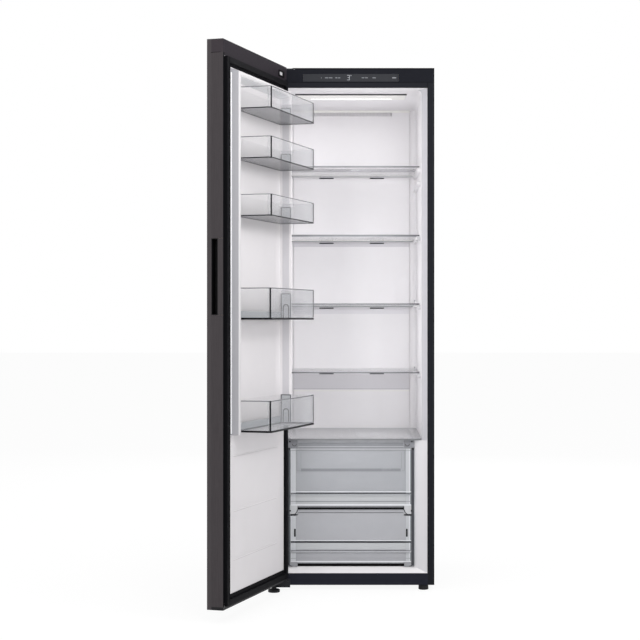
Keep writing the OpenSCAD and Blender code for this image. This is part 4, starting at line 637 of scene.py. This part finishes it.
def drawer_trim(body, top, lines, bands):
    """Lines and bands across a front: those above its top edge are shorter, to clear the guides."""
    for key in ("line_dark", "line_mid", "line_soft", "line_light"):
        items = []
        for look, z0, z1 in lines:
            half = WHOLE_HALF if z1 < top else TOP_HALF
            if look == key:
                items.append((-half, LINE_Y0, z0, half, TRIM_Y1, z1))
        bars(body + "_" + key, key, body, items)
    bars(body + "_bands", "band_light", body, [(-BAND_HALF, TRIM_Y0, z0, BAND_HALF, TRIM_Y1, z1)
                                               for z0, z1 in bands])


drawer_trim("upper_drawer", 504,
            lines=[("line_dark", 340.9, 343.6), ("line_mid", 312.4, 314.0), ("line_mid", 520.4, 522.2),
                   ("line_mid", 504.4, 505.6), ("line_mid", 494.8, 496.0), ("line_light", 347.4, 349.9),
                   ("line_soft", 508.6, 510.4), ("line_soft", 499.4, 501.0), ("line_light", 298.6, 303.6)],
            bands=[(315.2, 338.5), (304.2, 310.8)])
drawer_trim("lower_drawer", 262,
            lines=[("line_dark", 165.4, 171.3), ("line_mid", 137.4, 139.4), ("line_mid", 272.2, 275.2),
                   ("line_light", 172.4, 175.2), ("line_soft", 131.0, 136.4), ("line_light", 97.0, 100.4)],
            bands=[(141.2, 164.4)])
for body, z0, z1 in (("upper_drawer", 303.7, 502), ("lower_drawer", 100.5, 261)):
    bars(body + "_side_strip_left", "strip", body, [(-210.4, TRIM_Y0, z0, -197, TRIM_Y1, z1)])
    # The right strip takes a darker copy of the strip's grey, as painted shade
    bars(body + "_side_strip_right", "strip_right", body, [(197, TRIM_Y0, z0, 210.4, TRIM_Y1, z1)])
    bars(body + "_side_beads", "bead_soft", body,
         [(-214.6, BEAD_Y0, z0, -210.6, TRIM_Y1, z1), (208.0, BEAD_Y0, z0, 212.2, TRIM_Y1, z1)], bevel=0.4)
    bars(body + "_side_shade", "gap_mid", body, [(212.4, TRIM_Y0, z0, 214.9, TRIM_Y1, z1)])
bars("upper_drawer_top_band", "band_shade", "upper_drawer",
     [(-TOP_HALF, TRIM_Y0, 505.8, TOP_HALF, TRIM_Y1, 520.2)])
bars("upper_drawer_inner_band", "band_shade", "upper_drawer", [(-178, TRIM_Y0, 421, 178, TRIM_Y1, 431)])
bars("upper_drawer_inner_outline", "line_mid", "upper_drawer",
     [(x0, BEAD_Y0, z0, x1, TRIM_Y1, z1) for x0, z0, x1, z1 in (
         (-193.4, 424, -192.4, 492), (-179.0, 431, -178.0, 489), (-193.4, 422.6, -178.0, 423.6),
         (180.6, 431, 181.6, 489), (191.4, 424, 192.4, 492), (180.6, 422.6, 192.4, 423.6))], bevel=0.2)
bars("upper_drawer_lip", "line_mid", "upper_drawer", [(-188.5, 20.6, 291.7, 188.5, 23, 296)])
bars("lower_drawer_lip", "line_mid", "lower_drawer", [(-188.5, 20.6, 281.8, 188.5, 23, 285.2)])

# Oval openings low on the lower drawer's sides, filled black as painted shade
OVAL_X, OVAL_R, OVAL_Z0, OVAL_Z1 = 200.2, 2.9, 189.6, 213.2
bm = bmesh.new()
for side in (-1, 1):
    add_prism_y(bm, arc(side * OVAL_X, OVAL_Z1, OVAL_R, 0, 180, 8)
                + arc(side * OVAL_X, OVAL_Z0, OVAL_R, 180, 360, 8), 19.3, TRIM_Y1)
piece("lower_drawer_ovals", bm, "gap_black", "lower_drawer")

# Gaps between the drawers, under them and beside them, filled with painted shade, and the bar over them
GAP_HALF, GAP_Y0, GAP_Y1 = 190.8, 30, 34
bars("drawer_gap_shade_bars", "gap_black", "cabinet",
     [(-GAP_HALF, GAP_Y0, z0, GAP_HALF, GAP_Y1, z1) for z0, z1 in ((281, 297.5), (80.3, 96.6))])
bars("drawer_top_bar", "top_bar", "cabinet", [(-GAP_HALF, GAP_Y0, 505.5, GAP_HALF, GAP_Y1, 532.7)])
bars("drawer_side_gap_shade_dark", "gap_dark", "cabinet",
     [(-226.7, 19.5, 84, -219.4, 33, 499), (216.0, 19.5, 84, 225.4, 33, 499)])
bars("drawer_side_gap_shade_mid", "gap_mid", "cabinet",
     [(-219.2, 19.9, 84, -217.3, 33, 499), (225.5, 19.9, 84, 226.8, 33, 499)])

# Rail ends: round studs, and curved mouldings that turn the other way on the right side
RAIL_TRIM_Y = 20.6
bm = bmesh.new()
for side in (-1, 1):
    for x, z in ((218, 527.5), (216.7, 280)):
        add_prism_y(bm, arc(side * x, z, 2.7, 0, 330, 11), 17.8, RAIL_TRIM_Y)
piece("rail_end_studs", bm, "gap_black", "cabinet")
bm = bmesh.new()
for side in (-1, 1):
    for x, z, outer, inner, a0, a1 in ((209, 283.5, 18.8, 16.2, -90, 0), (209, 96.5, 16.2, 13.6, -180, -90),
                                       (202, 519, 8.4, 6.2, -180, 0)):
        if side > 0:
            a0, a1 = -180 - a0, -180 - a1
        add_prism_y(bm, arc(side * x, z, outer, a0, a1, 9) + arc(side * x, z, inner, a1, a0, 9),
                    19.2, RAIL_TRIM_Y)
piece("rail_end_mouldings", bm, "line_dark", "cabinet")

# Collar of the free-side foot, up to the rail: a turned profile of (radius, height) points
FOOT_X, FOOT_Y, FOOT_STEPS = 259.5, 20, 48
bm = bmesh.new()
angles = [math.radians(k * 360 / FOOT_STEPS) for k in range(FOOT_STEPS)]
rings = [[bm.verts.new(((FOOT_X + r * math.cos(a)) * MM, (FOOT_Y + r * math.sin(a)) * MM, z * MM))
          for a in angles]
         for r, z in ((10, 11.1), (14, 11.1), (17.6, 9.3), (17.6, 15.5), (16.6, 17.9), (10, 17.9))]
for a, b in zip(rings, rings[1:] + rings[:1]):
    for k in range(FOOT_STEPS):
        j = (k + 1) % FOOT_STEPS
        bm.faces.new((a[k], a[j], b[j], b[k]))
piece("free_foot_collar", bm, "cap_black", "cabinet")

# Door: seam under the top cap, on the front and on the free edge
bars("door_cap_seams", "seam", "door", [
    (0.4, -0.25, 1810.6, 594.6, 0.4, 1811.4), (594.6, 13, 1810.4, 595.08, 46, 1811.8)], door=True)

# Dark frame round the pale switch piece on the door's top rim
bars("magnet_frame", "rim_black", "door",
     [(s0, 54.6, z0, s1, 58.4, z1) for s0, z0, s1, z1 in (
         (33.8, 1812.8, 53, 1834.2), (79, 1812.8, 83.2, 1834.2),
         (53, 1812.8, 79, 1817.2), (53, 1828, 79, 1834.2))], bevel=0.2, door=True)

# Creases across the lower part of the door liner, each a pale line of painted highlight with a shaded line
# under it
bars("door_liner_creases", "crease", "door",
     [(105, 54.9, z, 505, 55.9, z + 2.2) for z in CREASE_ZS], bevel=0.4, door=True)
bars("door_liner_crease_shades", "crease_shade", "door",
     [(105, 54.9, z - 2.4, 505, 55.5, z - 0.2) for z in CREASE_ZS], bevel=0.2, door=True)

# Lip of the gasket, and a bead and a shaded band along the uprights of the liner's raised frame
strip("gasket_inner_lip", "rim_black", "door",
      [(564.8, 64.0), (562.4, 65.0), (562.3, 66.4), (564.8, 66.2)], 62, 1799)
strip("dyke_bead", "bead_and_painted_light", "door",
      [(558.6, 65.8), (559.2, 66.6), (558.4, 69.4), (557.0, 69.6), (557.4, 66.0)], 600, 1752)
strip("dyke_side_band", "dyke_band", "door",
      [(67.9, 64.0), (61.9, 86.5), (61.2, 86.5), (67.2, 64.0)], 602, 1748)


# Clear bins: dark lower edge and corner, rims, end brackets and, on the deep ones, a tinted band
def bin_outline(g):
    """The bin's outline, grown by g."""
    s0, q0, s1, q1, r = BIN_S0 - g, BIN_Q0 - g, BIN_S1 + g, BIN_Q1 + g, BIN_R + g
    return (arc(s1 - r, q0 + r, r, -90, 0) + arc(s1 - r, q1 - r, r, 0, 90)
            + arc(s0 + r, q1 - r, r, 90, 180) + arc(s0 + r, q0 + r, r, 180, 270))


def bin_front_path(g):
    """From the free end round the front wall to the hinge end, on the outline grown by g."""
    s0, s1, q1, r = BIN_S0 - g, BIN_S1 + g, BIN_Q1 + g, BIN_R + g
    return [(s1, 80)] + arc(s1 - r, q1 - r, r, 0, 90) + arc(s0 + r, q1 - r, r, 90, 170)


def add_corner(bm, s, r_outer, r_inner, a0, a1, z0, z1):
    """Thin upright line round a part of one of the bin's front corners."""
    q = BIN_Q1 - BIN_R
    add_ribbon(bm, arc(s, q, r_outer, a0, a1, 4), arc(s, q, r_inner, a0, a1, 4), z0, z1, closed=False)


def add_wall_line(bm, points, width, s0, s1):
    """Thin raised outline on a bin's hinge-side wall, along (q, z) points."""
    for (qa, za), (qb, zb) in zip(points, points[1:]):
        length = math.hypot(qb - qa, zb - za)
        dq, dz = (qb - qa) / length * width / 2, (zb - za) / length * width / 2
        corners = ((qa - dq - dz, za - dz + dq), (qb + dq - dz, zb + dz + dq),
                   (qb + dq + dz, zb + dz - dq), (qa - dq + dz, za - dz - dq))
        add_prism_x(bm, corners, s0, s1)


for i, z0 in BIN_BASES.items():
    body = "door_bin_%d" % i
    deep = i in DEEP_BINS
    z1 = z0 + (100 if deep else 70)
    if deep:
        edge_low, edge_high, rim, a0, a1 = -2.6, 3.6, 3.2, 30, 56
    else:
        edge_low, edge_high, rim, a0, a1 = -0.4, 3.0, 2.4, 48, 74

    bm = bmesh.new()
    add_ribbon(bm, bin_outline(0.35), bin_outline(-0.2), z0 + edge_low, z0 + edge_high)
    add_corner(bm, BIN_S1 - BIN_R, 12.35, 11.8, a0, a1, z0 + 2.8, z1 - 0.4)
    piece(body + "_dark_edges", bm, "bin_edge", body, door=True)

    bm = bmesh.new()
    add_ribbon(bm, bin_front_path(0.3), bin_front_path(-0.2), z1 - rim, z1 + 0.1, closed=False)
    add_corner(bm, BIN_S0 + BIN_R, 12.3, 11.8, 100, 150, z0 + 4.8, z1 - 2.8)
    piece(body + "_rim", bm, "bin_rim", body, door=True)

    # The last bin's bracket reaches up to the rim
    top = z1 - (1 if i == 5 else 12)
    bars(body + "_bracket", "bin_lug", body, [(83.3, 63.8, z0 + 3, 84.2, 101, top)], bevel=0.2, door=True)
    bm = bmesh.new()
    add_wall_line(bm, [(65.4, z0 + 3), (65.4, top - 1), (99.8, top - 1), (99.8, z0 + 3)], 2.6, 84.3, 84.8)
    if deep:
        add_wall_line(bm, [(73, z0 + 4)] + arc(83, z0 + 40, 10, 180, 0) + [(93, z0 + 4)], 3.0, 84.9, 85.5)
    piece(body + "_bracket_lines", bm, "bin_line", body, door=True)
    if deep:
        bars(body + "_band", "bin_band", body, [(86, 63.7, z0 + 2.8, 511, 64.3, z0 + 25)], door=True)

bpy.context.view_layer.update()
